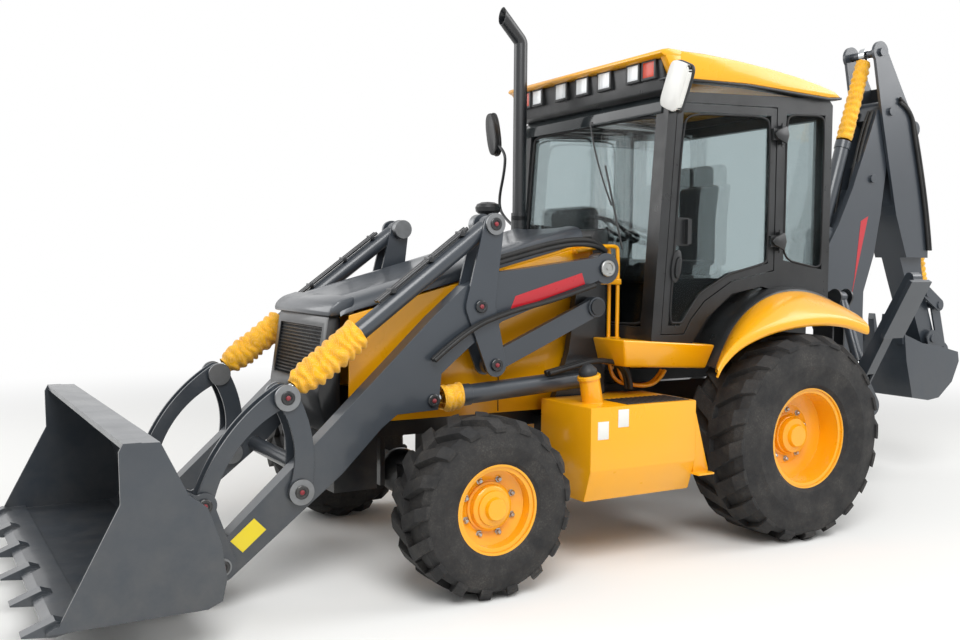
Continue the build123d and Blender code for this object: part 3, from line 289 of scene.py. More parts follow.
@dataclass(frozen=True)
class MachinedMetal(Finish):
    """Turned or plated metal with fine lines from its tool.

    Attributes:
        metallic: 1 for bare or plated metal, less for iron with scale.
        grain: Spacing of the tool marks in millimetres.
        depth: Depth of the tool marks in millimetres.
    """

    metallic: float = 1.0
    grain: float = 2.0
    depth: float = 0.02

    def build(self) -> bpy.types.Material:
        """Makes the metal."""
        shader = Shader(self.name, Metallic=self.metallic)
        blotch = shader.ramp(shader.noise(60, 5), 0.3, 0.7)
        shader.set("Base Color",
                   shader.mix(shader.times(blotch, 0.3), linear(self.colour), linear("#5b5a58")))
        shader.set("Roughness", shader.ramp(blotch, 0, 1, self.roughness, self.roughness + 0.12))
        shader.bump(shader.noise(self.grain, 2), self.depth, edge=2)
        return shader.material


@dataclass(frozen=True)
class MouldedPlastic(Finish):
    """Injection-moulded plastic with a leather-like grain.

    Attributes:
        grain: Width of the grain's pebbles in millimetres.
    """

    grain: float = 5.0

    def build(self) -> bpy.types.Material:
        """Makes the plastic."""
        shader = Shader(self.name, Specular_IOR_Level=0.45)
        fade = shader.ramp(shader.noise(300, 4), 0.3, 0.7, 0.0, 0.25)
        shader.set("Base Color", shader.mix(fade, linear(self.colour), linear("#4a4d50")))
        shader.set("Roughness",
                   shader.ramp(shader.noise(90, 4), 0.3, 0.7, self.roughness - 0.06, self.roughness + 0.1))
        cells = shader.add("ShaderNodeTexVoronoi",
                           {"Vector": shader.place, "Scale": per_metre(self.grain)}).outputs["Distance"]
        shader.bump(cells, 0.25, edge=3)
        return shader.material


@dataclass(frozen=True)
class FloatGlass(Finish):
    """Tinted safety glass, clear enough to see the seat through it.

    Attributes:
        tint: How much light passes unbent: the pane's opacity is 1 less 0.6 of it.
    """

    tint: float = 0.75

    def build(self) -> bpy.types.Material:
        """Makes the glass."""
        shader = Shader(self.name, Transmission_Weight=1.0, IOR=1.14, Alpha=1.0 - self.tint * 0.6)
        film = shader.ramp(shader.noise(260, 5), 0.45, 0.75, self.roughness, self.roughness + 0.06)
        shader.set("Base Color",
                   shader.mix(shader.ramp(shader.noise(400, 3), 0.3, 0.7, 0.0, 0.3), linear(self.colour),
                              linear("#9fb0b4")))
        shader.set("Roughness", film)
        return shader.material


@dataclass(frozen=True)
class Lens(Finish):
    """Moulded acrylic lamp lens with vertical flutes.

    Attributes:
        flute: Spacing of the flutes in millimetres.
    """

    flute: float = 9.0

    def build(self) -> bpy.types.Material:
        """Makes the lens."""
        shader = Shader(self.name, Coat_Weight=1.0, Coat_Roughness=0.03)
        wave = shader.add("ShaderNodeTexWave",
                          {"Vector": shader.place, "Scale": per_metre(self.flute) / WAVES_PER_UNIT,
                           "Distortion": 0.4}, bands_direction="Y").outputs["Fac"]
        shader.set("Base Color",
                   shader.mix(shader.times(wave, 0.35), linear(self.colour), linear("#ffffff")))
        shader.set("Roughness", shader.ramp(wave, 0, 1, self.roughness, self.roughness + 0.1))
        shader.bump(wave, 0.6)
        return shader.material


@dataclass(frozen=True)
class WovenCloth(Finish):
    """Coated polyester cloth with a plain weave and soil in its folds.

    Attributes:
        thread: Thread spacing in millimetres, drawn coarser than the real 0.6 so that it shows.
        soil: Colour of the soil in the folds.
        painted_sheen: Lighter colour on the thread's crowns, a painted sheen where they would catch the
            light.
    """

    thread: float = 4.0
    soil: str = "#5d4410"
    painted_sheen: str = "#fff0c0"

    def build(self) -> bpy.types.Material:
        """Makes the cloth."""
        shader = Shader(self.name, Sheen_Weight=0.25, Sheen_Roughness=0.5, Specular_IOR_Level=0.3)
        bands = []
        for direction in ("X", "Y", "Z"):
            bands.append(shader.add("ShaderNodeTexWave",
                                    {"Vector": shader.place,
                                     "Scale": per_metre(self.thread) / WAVES_PER_UNIT, "Distortion": 0.6},
                                    bands_direction=direction).outputs["Fac"])
        weave = shader.add("ShaderNodeMath", {0: shader.times(bands[0], bands[1]), 1: bands[2]},
                           operation="MULTIPLY").outputs[0]
        folds = shader.ramp(shader.noise(45, 5, 0.6), 0.42, 0.68, 0.0, 0.55)
        colour = shader.mix(folds, linear(self.colour), linear(self.soil))
        # painted sheen: the crowns of the weave are lightened where light would catch them
        shader.set("Base Color", shader.mix(shader.times(weave, 0.5), colour, linear(self.painted_sheen)))
        shader.set("Roughness", shader.ramp(weave, 0, 1, self.roughness, self.roughness + 0.1))
        shader.bump(weave, 0.5)
        return shader.material


YELLOW = SprayedEnamel("yellow_sprayed_enamel", "#f7ab00", 0.30, faded_and_edge_highlight="#f3ae08", dust=0.08, coat=0.5)
SLATE = SprayedEnamel("slate_grey_sprayed_enamel", "#30363d", 0.34, faded_and_edge_highlight="#3c434b", dust=0.12, coat=0.45)
BLACK = SprayedEnamel("black_sprayed_enamel", "#15171a", 0.34, faded_and_edge_highlight="#202327", dust=0.12, coat=0.3)
RED = SprayedEnamel("red_vinyl_film", "#b80a1e", 0.3, faded_and_edge_highlight="#bd1526", dust=0.1, coat=0.6)
WHITE_FILM = SprayedEnamel("white_vinyl_film", "#e6e6e2", 0.35, faded_and_edge_highlight="#d8d8d2", dust=0.1, coat=0.4)
YELLOW_FILM = SprayedEnamel("yellow_vinyl_film", "#ead100", 0.35, faded_and_edge_highlight="#dfc820", dust=0.1, coat=0.4)
TYRE = MouldedRubber("vulcanised_tyre_rubber", "#222223", 0.78)
HOSE = MouldedRubber("extruded_hose_rubber", "#1b1c1d", 0.5, grain=5, dust=0.1)
SEAL = MouldedRubber("extruded_seal_rubber", "#17181a", 0.6, grain=4, dust=0.08)
CHROME = MachinedMetal("hard_chromed_steel", "#cfd3d6", 0.08, grain=1.2, depth=0.005)
PIN = MachinedMetal("turned_pin_steel", "#8b8d8f", 0.34, grain=2.0, depth=0.03)
ZINC = MachinedMetal("zinc_plated_steel", "#b4b6b4", 0.3, grain=3.0, depth=0.02)
IRON = MachinedMetal("cast_engine_iron", "#3c3d3e", 0.6, metallic=0.6, grain=5.0, depth=0.3)
PLASTIC = MouldedPlastic("grained_black_plastic", "#1d1e20", 0.5)
TRIM = MouldedPlastic("smooth_black_plastic", "#151617", 0.32, grain=2.5)
RED_CAP = MouldedPlastic("red_plastic_cap", "#8c1f2a", 0.4, grain=2.0)
GLASS = FloatGlass("tinted_safety_glass", "#9fb0b2", 0.0)
MIRROR = MachinedMetal("silvered_mirror_glass", "#dfe6e8", 0.03, grain=60, depth=0.0)
SMOKED = MouldedPlastic("black_printed_glass", "#1c2224", 0.06, grain=60)
CLEAR_LENS = Lens("clear_fluted_lens", "#d9dee0", 0.08)
ORANGE_LENS = MouldedPlastic("orange_moulded_lens", "#e03c06", 0.14, grain=6)
SLEEVE_CLOTH = WovenCloth("yellow_coated_polyester_cloth", "#fbb800", 0.62, soil="#c98a08")
SEAT_CLOTH = WovenCloth("black_woven_seat_cloth", "#26282b", 0.85, thread=5.0, soil="#101010",
                        painted_sheen="#3a3a3a")

NODE_FINISHES: dict[str, Finish] = {
    "body_yellow": YELLOW, "frame_grey": SLATE, "chassis_black": BLACK, "cylinder_grey": SLATE,
    "chromed_rod": CHROME, "tyre_rubber": TYRE, "rim_yellow": YELLOW, "pin_steel": PIN,
    "cab_glass": GLASS, "interior_black": PLASTIC, "fitting_black": TRIM, "engine_iron": IRON,
}


# ---------------------------------------------------------------- modelling
class Across(Enum):
    """Direction across which a flat outline gets its thickness."""

    X = "x"
    Y = "y"
    Z = "z"

    def point(self, a: float, b: float, depth: float) -> Vector:
        """Returns the point whose outline place is (a, b) at a depth across the plane."""
        return {Across.X: Vector((depth, a, b)), Across.Y: Vector((a, depth, b)),
                Across.Z: Vector((a, b, depth))}[self]


def deselect() -> None:
    """Leaves edit mode and clears the selection."""
    if bpy.context.object and bpy.context.object.mode != "OBJECT":
        bpy.ops.object.mode_set(mode="OBJECT")
    bpy.ops.object.select_all(action="DESELECT")


def only(piece: Piece) -> None:
    """Selects one piece alone and makes it active."""
    deselect()
    piece.select_set(True)
    bpy.context.view_layer.objects.active = piece


def opened(name: str) -> Piece:
    """Names the primitive just added and opens it in edit mode, all selected."""
    piece = bpy.context.object
    piece.name = piece.data.name = name
    bpy.ops.object.mode_set(mode="EDIT")
    bpy.ops.mesh.select_all(action="SELECT")
    return piece


def closed(piece: Piece, smooth: float = 35) -> Piece:
    """Turns the faces outwards, leaves edit mode and moves the place into the mesh.

    Args:
        piece: Piece that is open in edit mode.
        smooth: Largest angle in degrees that is still shaded smooth.

    Returns:
        The piece.
    """
    bpy.ops.mesh.select_all(action="SELECT")
    bpy.ops.mesh.normals_make_consistent(inside=False)
    bpy.ops.object.mode_set(mode="OBJECT")
    only(piece)
    bpy.ops.object.transform_apply(location=True, rotation=True, scale=True)
    bpy.ops.object.shade_smooth_by_angle(angle=math.radians(smooth))
    return piece


def block(name: str, low: Point, high: Point, round_by: float, steps: int = 2) -> Piece:
    """Box between two corners with rounded edges."""
    deselect()
    low, high = Vector(low), Vector(high)
    bpy.ops.mesh.primitive_cube_add(size=1, location=(low + high) / 2, scale=high - low)
    bpy.ops.object.transform_apply(location=True, rotation=True, scale=True)
    piece = opened(name)
    bpy.ops.mesh.bevel(offset=round_by, offset_type="OFFSET", segments=steps, affect="EDGES")
    return closed(piece)


def plate(name: str, outline: Outline, low: float, high: float, across: Across = Across.Y,
          round_by: float = 0.0) -> Piece:
    """Plate with a flat outline.

    Args:
        name: Name of the piece.
        outline: Corners in the plane.
        low: Where the thickness starts.
        high: Where it ends.
        across: Direction of the thickness.
        round_by: Radius of the rounded edges.

    Returns:
        The plate.
    """
    deselect()
    bpy.ops.mesh.primitive_circle_add(vertices=len(outline), radius=1, fill_type="NGON")
    for vertex, (a, b) in zip(bpy.context.object.data.vertices, outline):
        vertex.co = across.point(a, b, low)
    piece = opened(name)
    bpy.ops.mesh.extrude_region_move(TRANSFORM_OT_translate={"value": across.point(0, 0, high - low)})
    if round_by:
        bpy.ops.mesh.select_all(action="SELECT")
        bpy.ops.mesh.bevel(offset=round_by, offset_type="OFFSET", segments=2, affect="EDGES")
    return closed(piece)


def turned(name: str, profile: Outline, base: Vector, along: Vector, steps: int = 32) -> Piece:
    """Round piece spun about an axis.

    Args:
        name: Name of the piece.
        profile: Closed profile of (height along the axis, radius) points.
        base: Where the axis starts.
        along: Direction of the axis.
        steps: Faces round the piece.

    Returns:
        The turned piece.
    """
    deselect()
    bpy.ops.mesh.primitive_circle_add(vertices=len(profile), radius=1, fill_type="NOTHING")
    for vertex, (height, radius) in zip(bpy.context.object.data.vertices, profile):
        vertex.co = (radius, 0, height)
    piece = opened(name)
    bpy.ops.mesh.spin(steps=steps, angle=2 * math.pi, center=(0, 0, 0), axis=(0, 0, 1))
    bpy.ops.mesh.select_all(action="SELECT")
    bpy.ops.mesh.remove_doubles(threshold=1e-5)
    bpy.ops.mesh.dissolve_degenerate(threshold=1e-6)
    bpy.ops.object.mode_set(mode="OBJECT")
    turn = Vector(along).normalized().to_track_quat("Z", "Y").to_matrix().to_4x4()
    piece.data.transform(Matrix.Translation(base) @ turn)
    bpy.ops.object.mode_set(mode="EDIT")
    return closed(piece)


def swept(name: str, route: Sequence[Point], radius: float, sides: int = 3) -> Piece:
    """Round line on a smooth curve through a given route, made a mesh.

    Args:
        name: Name of the piece.
        route: Control points in metres.
        radius: Radius of the line.
        sides: Fineness of its roundness.

    Returns:
        The line.
    """
    curve = bpy.data.curves.new(name, "CURVE")
    curve.dimensions = "3D"
    curve.bevel_depth = radius
    curve.bevel_resolution = sides
    curve.resolution_u = 6
    curve.use_fill_caps = True
    spline = curve.splines.new("NURBS")
    spline.points.add(len(route) - 1)
    for point, place in zip(spline.points, route):
        point.co = (*place, 1)
    spline.order_u = 3
    spline.use_endpoint_u = True
    piece = bpy.data.objects.new(name, curve)
    bpy.context.scene.collection.objects.link(piece)
    only(piece)
    bpy.ops.object.convert(target="MESH")
    bpy.ops.object.shade_smooth_by_angle(angle=math.radians(50))
    return piece


def copy_of(piece: Piece, matrix: Matrix) -> Piece:
    """Returns a copy of a piece with its own mesh, moved by a matrix."""
    copy = piece.copy()
    copy.data = piece.data.copy()
    copy.data.transform(matrix)
    if matrix.determinant() < 0:
        copy.data.flip_normals()
    bpy.context.scene.collection.objects.link(copy)
    return copy


def mirrored(piece: Piece, name: str) -> Piece:
    """Returns a copy of a piece on the other side of the machine."""
    copy = copy_of(piece, Matrix.Scale(-1, 4, (0, 1, 0)))
    copy.name = copy.data.name = name
    return copy


def joined(name: str, pieces: Sequence[Piece]) -> Piece:
    """Joins pieces into one mesh and names it."""
    deselect()
    for piece in pieces:
        piece.select_set(True)
    bpy.context.view_layer.objects.active = pieces[0]
    bpy.ops.object.join()
    pieces[0].name = pieces[0].data.name = name
    return pieces[0]


def paired(name: str, piece: Piece) -> Piece:
    """Joins a piece with its mirror copy and names the two."""
    return joined(name, [piece, mirrored(piece, f"{piece.name}_right")])


def dress(piece: Piece, finish: Finish, body: str = "chassis", slot: str = "fitting_black") -> Piece:
    """Gives a piece its material and its body.

    Args:
        piece: Finished piece.
        finish: Its finish.
        body: Body of the frame that it rides on.
        slot: The record's material slot; not used.

    Returns:
        The piece.
    """
    piece.data.materials.clear()
    piece.data.materials.append(finish.material())
    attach(piece, body)
    LOG.info("%s rides on %s, %d faces", piece.name, body, len(piece.data.polygons))
    return piece


def dress_both(piece: Piece, other: str, finish: Finish, body: str = "chassis",
               slot: str = "fitting_black") -> None:
    """Dresses a piece of the left side and a mirror copy of it.

    Args:
        piece: Finished piece of the left side.
        other: Name of the mirror copy.
        finish: Their finish.
        body: Body that the left one rides on.
        slot: The record's material slot.
    """
    copy = mirrored(piece, other)
    dress(piece, finish, body, slot)
    dress(copy, finish, body.replace("left", "right"), slot)


# ---------------------------------------------------------------- curved sheets and cuts
def sheet(name: str, rows: Sequence[Sequence[Vector]], thickness: float, levels: int = 2,
          around: bool = False) -> Piece:
    """Curved sheet whose grid follows rows of points.

    Args:
        name: Name of the piece.
        rows: Rows of points, all of one length.
        thickness: Thickness that the sheet gets, or 0 for none.
        levels: Levels of smoothing subdivision.
        around: Whether the last point of a row meets its first.

    Returns:
        The sheet.
    """
    deselect()
    wide, high = len(rows[0]), len(rows)
    bpy.ops.mesh.primitive_grid_add(x_subdivisions=wide - 1, y_subdivisions=high - 1, size=2)
    for vertex in bpy.context.object.data.vertices:
        i = round((vertex.co.x + 1) / 2 * (wide - 1))
        j = round((vertex.co.y + 1) / 2 * (high - 1))
        vertex.co = rows[j][i]
    piece = opened(name)
    if around:
        bpy.ops.mesh.remove_doubles(threshold=1e-6)
    closed(piece, 60)
    if levels:
        smoother = piece.modifiers.new("smooth", "SUBSURF")
        smoother.levels = smoother.render_levels = levels
    if thickness:
        wall = piece.modifiers.new("wall", "SOLIDIFY")
        wall.thickness = thickness
        wall.offset = 0
    for modifier in list(piece.modifiers):
        bpy.ops.object.modifier_apply(modifier=modifier.name)
    bpy.ops.object.shade_smooth_by_angle(angle=math.radians(60))
    return piece


def ring(inner: float, outer: float, low: float, high: float, round_by: float = 0.0) -> Outline:
    """Closed profile of a washer or, with an inner radius of 0, of a round boss."""
    if round_by:
        return [(low, inner), (low, outer), (high - round_by, outer), (high, outer - round_by),
                (high, inner)]
    return [(low, inner), (low, outer), (high, outer), (high, inner)]


def mouth(piece: Piece, place: Vector, facing: Vector, wall: float, inward: Vector) -> Piece:
    """Cuts a pipe off on a plane and hollows its end.

    Args:
        piece: Pipe to cut.
        place: Point on the cutting plane.
        facing: Direction that the mouth faces.
        wall: Thickness of the pipe's wall.
        inward: How far in, and in which direction, the pipe is hollow.

    Returns:
        The pipe.
    """
    only(piece)
    bpy.ops.object.mode_set(mode="EDIT")
    bpy.ops.mesh.select_mode(type="FACE")
    bpy.ops.mesh.select_all(action="SELECT")
    bpy.ops.mesh.bisect(plane_co=place, plane_no=facing, use_fill=True, clear_outer=True)
    bpy.ops.mesh.inset(thickness=wall)
    bpy.ops.mesh.extrude_region_move(TRANSFORM_OT_translate={"value": inward})
    return closed(piece, 50)


def bead(name: str, corners: Sequence[Vector], radius: float, turn: float) -> Piece:
    """Rubber bead round a closed outline.

    Args:
        name: Name of the bead.
        corners: Corners of the outline.
        radius: Radius of the bead.
        turn: Share of a side, at each of its ends, over which the bead turns the corner.

    Returns:
        The bead.
    """
    route = []
    for here, after in zip(corners, [*corners[1:], corners[0]]):
        route += [here.lerp(after, share) for share in (turn, 0.5, 1 - turn)]
    return swept(name, [*route, route[0]], radius, 2)


def rounded(middle: tuple[float, float], wide: float, high: float, tilt: float, power: float) -> Outline:
    """Rounded outline between an oval and a box.

    Args:
        middle: Middle of the outline.
        wide: Its width.
        high: Its height.
        tilt: Its lean in degrees.
        power: 2 for an oval, more for a squarer shape.

    Returns:
        The outline.
    """
    lean, points = math.radians(tilt), 28
    out = []
    for step in range(points):
        turn = 2 * math.pi * step / points
        c, s = math.cos(turn), math.sin(turn)
        a = wide / 2 * math.copysign(abs(c) ** (2 / power), c)
        b = high / 2 * math.copysign(abs(s) ** (2 / power), s)
        out.append((middle[0] + a * math.cos(lean) - b * math.sin(lean),
                    middle[1] + a * math.sin(lean) + b * math.cos(lean)))
    return out


def recessed(piece: Piece, faces: set[int], border: float, depth: float) -> Piece:
    """Sinks faces that look ahead, leaving a border round them.

    Args:
        piece: Piece to change.
        faces: Numbers of the faces.
        border: Width of the border.
        depth: How deep they are sunk.

    Returns:
        The piece.
    """
    only(piece)
    bpy.ops.object.mode_set(mode="EDIT")
    bpy.ops.mesh.select_mode(type="FACE")
    bpy.ops.mesh.select_all(action="DESELECT")
    bpy.ops.object.mode_set(mode="OBJECT")
    for face in piece.data.polygons:
        face.select = face.index in faces
    bpy.ops.object.mode_set(mode="EDIT")
    bpy.ops.mesh.inset(thickness=border)
    bpy.ops.mesh.extrude_region_move(TRANSFORM_OT_translate={"value": (-depth, 0, 0)})
    return closed(piece)


# ---------------------------------------------------------------- places
class Machine:
    """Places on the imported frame, told from the pins of its joints."""

    def __init__(self, frame: dict) -> None:
        """Reads the joints' places.
        """
        self.frame = frame
        self.pins = {joint["name"]: Vector(joint["pos_m"]) for joint in frame["joints"] if "pos_m" in joint}
        self.rear_axle = self.pins["rear_wheel_left"].x

    def at(self, ahead: float, side: float, up: float) -> Vector:
        """Returns a point so far ahead of the rear axle, to the left and above the ground."""
        return Vector((self.rear_axle + ahead, side, up))

    def places(self, *rows: Point) -> list[Vector]:
        """Returns points that are each given as places ahead, to the left and up."""
        return [self.at(*row) for row in rows]

    def line(self, outline: Outline) -> list[tuple[float, float]]:
        """Returns a side outline given in millimetres from the rear axle and the ground."""
        return [(self.rear_axle + a / 1000, b / 1000) for a, b in outline]

    def slab(self, name: str, outline: Outline, low: float, high: float, round_by: float = 0.0) -> Piece:
        """Makes a plate between two sides with a side outline in millimetres."""
        return plate(name, self.line(outline), low, high, round_by=round_by)

    def box(self, name: str, low: Point, high: Point, round_by: float, steps: int = 2) -> Piece:
        """Makes a rounded box between two places on the machine."""
        return block(name, self.at(*low), self.at(*high), round_by, steps)

    def tube(self, name: str, radius: float, *route: Point, sides: int = 3) -> Piece:
        """Makes a round line through places on the machine."""
        return swept(name, self.places(*route), radius, sides)

    def spun(self, name: str, profile: Outline, place: Point, along: Point, steps: int = 32) -> Piece:
        """Makes a turned piece that stands on a place on the machine."""
        return turned(name, profile, self.at(*place), Vector(along), steps)

    def dress_nodes(self) -> None:
        """Gives each node of the frame the finish of its material slot."""
        for row in self.frame["record"]["subparts"]:
            node = self.frame["nodes"][row["node"]]
            node.data.materials.clear()
            node.data.materials.append(NODE_FINISHES[row["material_slot"]].material())
            for polygon in node.data.polygons:
                polygon.material_index = 0


# ---------------------------------------------------------------- studio
@dataclass
class Studio:
    """Pale floor, soft light and the camera.

    Attributes:
        eye: Camera place: ahead of the rear axle, to the left, above the ground.
        yaw: Direction of the view about the vertical, in degrees.
        pitch: Its rise, in degrees.
        roll: Its tilt, in degrees.
        lens: Focal length on a 36 mm sensor.
        floor_radius: Radius of the floor.
        key: Power of the large soft lamp in watts.
        fill: Strength of the even light from all round.
    """

    eye: Point = (4.938, 5.474, 1.721)
    yaw: float = -120.37
    pitch: float = -3.19
    roll: float = 0.47
    lens: float = 37.85
    floor_radius: float = 60.0
    key: float = 620.0
    fill: float = 0.5

    def camera(self, machine: Machine) -> None:
        """Makes the camera and looks through it."""
        yaw, pitch, roll = (math.radians(a) for a in (self.yaw, self.pitch, self.roll))
        ahead = Vector((math.cos(pitch) * math.cos(yaw), math.cos(pitch) * math.sin(yaw), math.sin(pitch)))
        right = ahead.cross(Vector((0, 0, 1))).normalized()
        up = right.cross(ahead)
        tilted = right * math.cos(roll) + up * math.sin(roll)
        upright = up * math.cos(roll) - right * math.sin(roll)
        turn = Matrix((tilted, upright, -ahead)).transposed().to_4x4()
        camera = bpy.data.objects.new("camera", bpy.data.cameras.new("camera"))
        camera.data.sensor_width = 36
        camera.data.lens = self.lens
        camera.data.clip_end = 200
        camera.matrix_world = Matrix.Translation(machine.at(*self.eye)) @ turn
        bpy.context.scene.collection.objects.link(camera)
        bpy.context.scene.camera = camera

    def floor(self) -> None:
        """Makes the floor: pale near the machine and plain white far off."""
        bpy.ops.object.select_all(action="DESELECT")
        bpy.ops.mesh.primitive_circle_add(vertices=96, radius=self.floor_radius, fill_type="NGON")
        floor = opened("floor")
        bpy.ops.mesh.inset(thickness=self.floor_radius * 0.7)
        floor = closed(floor)
        material = bpy.data.materials.new("pale_studio_floor")
        material.use_nodes = True
        tree = material.node_tree
        tree.nodes.clear()
        place = add_node(tree, "ShaderNodeTexCoord").outputs["Object"]
        far = add_node(tree, "ShaderNodeVectorMath", {0: place}, operation="LENGTH").outputs["Value"]
        fade = add_node(tree, "ShaderNodeMapRange", {"Value": far, "From Min": 4.5, "From Max": 11.0},
                        interpolation_type="SMOOTHSTEP").outputs["Result"]
        paint = add_node(tree, "ShaderNodeBsdfDiffuse", {"Color": linear("#f4f4f2")}).outputs[0]
        glow = add_node(tree, "ShaderNodeEmission", {"Strength": self.seen(tree, 1.0, self.fill)}).outputs[0]
        mixed = add_node(tree, "ShaderNodeMixShader", {0: fade, 1: paint, 2: glow}).outputs[0]
        add_node(tree, "ShaderNodeOutputMaterial", {"Surface": mixed})
        floor.data.materials.append(material)

    def seen(self, tree: bpy.types.NodeTree, shown: float, light: float) -> bpy.types.NodeSocket:
        """Returns a strength that is one value where it is seen and another where it lights.

        Args:
            tree: Node tree that gets the nodes.
            shown: Value for camera, glossy and transmission rays.
            light: Value for all other rays.

        Returns:
            The strength.
        """
        path = add_node(tree, "ShaderNodeLightPath")
        either = path.outputs["Is Camera Ray"]
        for name in ("Is Glossy Ray", "Is Transmission Ray"):
            either = add_node(tree, "ShaderNodeMath", {0: either, 1: path.outputs[name]},
                              operation="MAXIMUM").outputs[0]
        return add_node(tree, "ShaderNodeMapRange",
                        {"Value": either, "To Min": light, "To Max": shown}).outputs["Result"]

    def light(self) -> None:
        """Makes the world light and the large soft lamps."""
        world = bpy.data.worlds.new("studio")
        bpy.context.scene.world = world
        world.use_nodes = True
        tree = world.node_tree
        tree.nodes.clear()
        glow = add_node(tree, "ShaderNodeBackground",
                        {"Color": (1, 1, 1, 1), "Strength": self.seen(tree, 1.0, self.fill)})
        add_node(tree, "ShaderNodeOutputWorld", {"Surface": glow.outputs[0]})
        # place, size, share of the key's power
        lamps = [((3.5, 6.5, 7.5), 5.0, 1.0), ((-6.0, 4.0, 6.0), 5.0, 0.45), ((6.5, -5.0, 5.0), 5.0, 0.35)]
        for number, (place, size, share) in enumerate(lamps):
            lamp = bpy.data.lights.new(f"soft_lamp_{number}", "AREA")
            lamp.energy = self.key * share
            lamp.size = size
            holder = bpy.data.objects.new(lamp.name, lamp)
            holder.location = place
            holder.rotation_euler = (Vector((0, 0, 1.2)) - Vector(place)).to_track_quat("-Z", "Y").to_euler()
            bpy.context.scene.collection.objects.link(holder)
        bpy.context.scene.view_settings.view_transform = "Standard"

    def build(self, machine: Machine) -> None:
        """Makes the whole studio."""
        self.camera(machine)
        self.floor()
        self.light()


# ---------------------------------------------------------------- cab
@dataclass
class CabTop:
    """Roof panel with its lamp housing and seven lamps.

    Attributes:
        half: Half the roof's width.
        work_lamp: Width and height of a work lamp.
        side_lamp: Width and height of a marker lamp.
        lamp_up: Height of the lamps' middle.
        lamp_back: Place ahead of the lamps' backs.
        lamp_front: Place ahead of their front rims.
    """

    half: float = 0.85
    work_lamp: tuple[float, float] = (0.150, 0.128)
    side_lamp: tuple[float, float] = (0.135, 0.122)
    lamp_up: float = 2.893
    lamp_back: float = 0.935
    lamp_front: float = 0.972

    def roof(self, machine: Machine) -> None:
        """Makes the arched roof with its thin brow, side cheeks and rails."""
        body = machine.slab("roof_body",
                            [(-556, 2838), (-421, 2826), (301, 2846), (880, 2828), (880, 2994), (660, 2996),
                             (390, 2984), (120, 2964), (-137, 2936), (-330, 2906), (-470, 2876)], -self.half,
                            self.half, 0.022)
        brow = machine.slab("roof_brow",
                            [(860, 2994), (860, 2950), (990, 2948), (1016, 2962), (1008, 2984), (960, 2995)],
                            -self.half, self.half, 0.010)
        cheek = machine.slab("roof_cheek", [(860, 2828), (915, 2832), (975, 2940), (990, 2960), (860, 2968)],
                             self.half - 0.058, self.half, 0.012)
        pieces = [body, brow, cheek, mirrored(cheek, "roof_cheek_right")]
        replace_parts(dress(joined("roof_panel", pieces), YELLOW, slot="body_yellow"), "cab_roof")
        rail = machine.slab("roof_rail",
                            [(-548, 2842), (-420, 2830), (301, 2850), (960, 2832), (960, 2818), (301, 2834),
                             (-420, 2814), (-546, 2826)], 0.762, 0.842, 0.004)
        dress(paired("roof_rails", rail), TRIM)

    def lamp(self, name: str, machine: Machine, side: float, size: tuple[float, float],
             lens: Finish) -> None:
        """Makes one lamp: a deep bezel, a bright bowl in it and a lens before the bowl.

        Args:
            name: Name of the lamp.
            machine: Places on the machine.
            side: Place of its middle to the left.
            size: Its width and height.
            lens: Finish of the lens.
        """
        wide, high = size[0] / 2, size[1] / 2
        low = machine.at(self.lamp_back, side - wide, self.lamp_up - high)
        top = machine.at(self.lamp_front, side + wide, self.lamp_up + high)
        bezel = block(name, low, top, 0.006)
        front = max(bezel.data.polygons, key=lambda face: face.normal.x * 10 + face.area)
        dress(recessed(bezel, {front.index}, 0.010, 0.012), TRIM)
        # piece, gap behind it, gap before it, gap round it, radius of its edges, finish, slot
        rows = [("bowl", 0.018, 0.010, 0.012, 0.002, CHROME, "fitting_black"),
                ("lens", 0.028, 0.002, 0.011, 0.003, lens, "cab_glass")]
        for part, behind, before, gap, round_by, finish, slot in rows:
            piece = block(f"{name}_{part}", low + Vector((behind, gap, gap)),
                          top - Vector((before, gap, gap)), round_by)
            dress(piece, finish, slot=slot)

    def build(self, machine: Machine) -> None:
        """Makes the roof and everything at its front edge."""
        self.roof(machine)
        housing = machine.slab("lamp_housing",
                               [(850, 2738), (905, 2742), (938, 2766), (956, 2948), (850, 2950)], -0.79,
                               0.79, 0.008)
        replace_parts(dress(housing, TRIM), "cab_fittings")
        band = machine.slab("screen_band",
                            [(900, 2634), (920, 2634), (916, 2702), (866, 2764), (850, 2755), (898, 2692)],
                            -0.745, 0.745, 0.002)
        dress(band, SMOKED)
        # place to the left, size, lens
        lamps = [(0.68, self.side_lamp, ORANGE_LENS), (0.53, self.side_lamp, CLEAR_LENS),
                 (0.24, self.work_lamp, CLEAR_LENS), (0.0, self.work_lamp, CLEAR_LENS),
                 (-0.24, self.work_lamp, CLEAR_LENS), (-0.53, self.side_lamp, CLEAR_LENS),
                 (-0.68, self.side_lamp, ORANGE_LENS)]
        for number, (side, size, lens) in enumerate(lamps):
            self.lamp(f"roof_lamp_{number}", machine, side, size, lens)


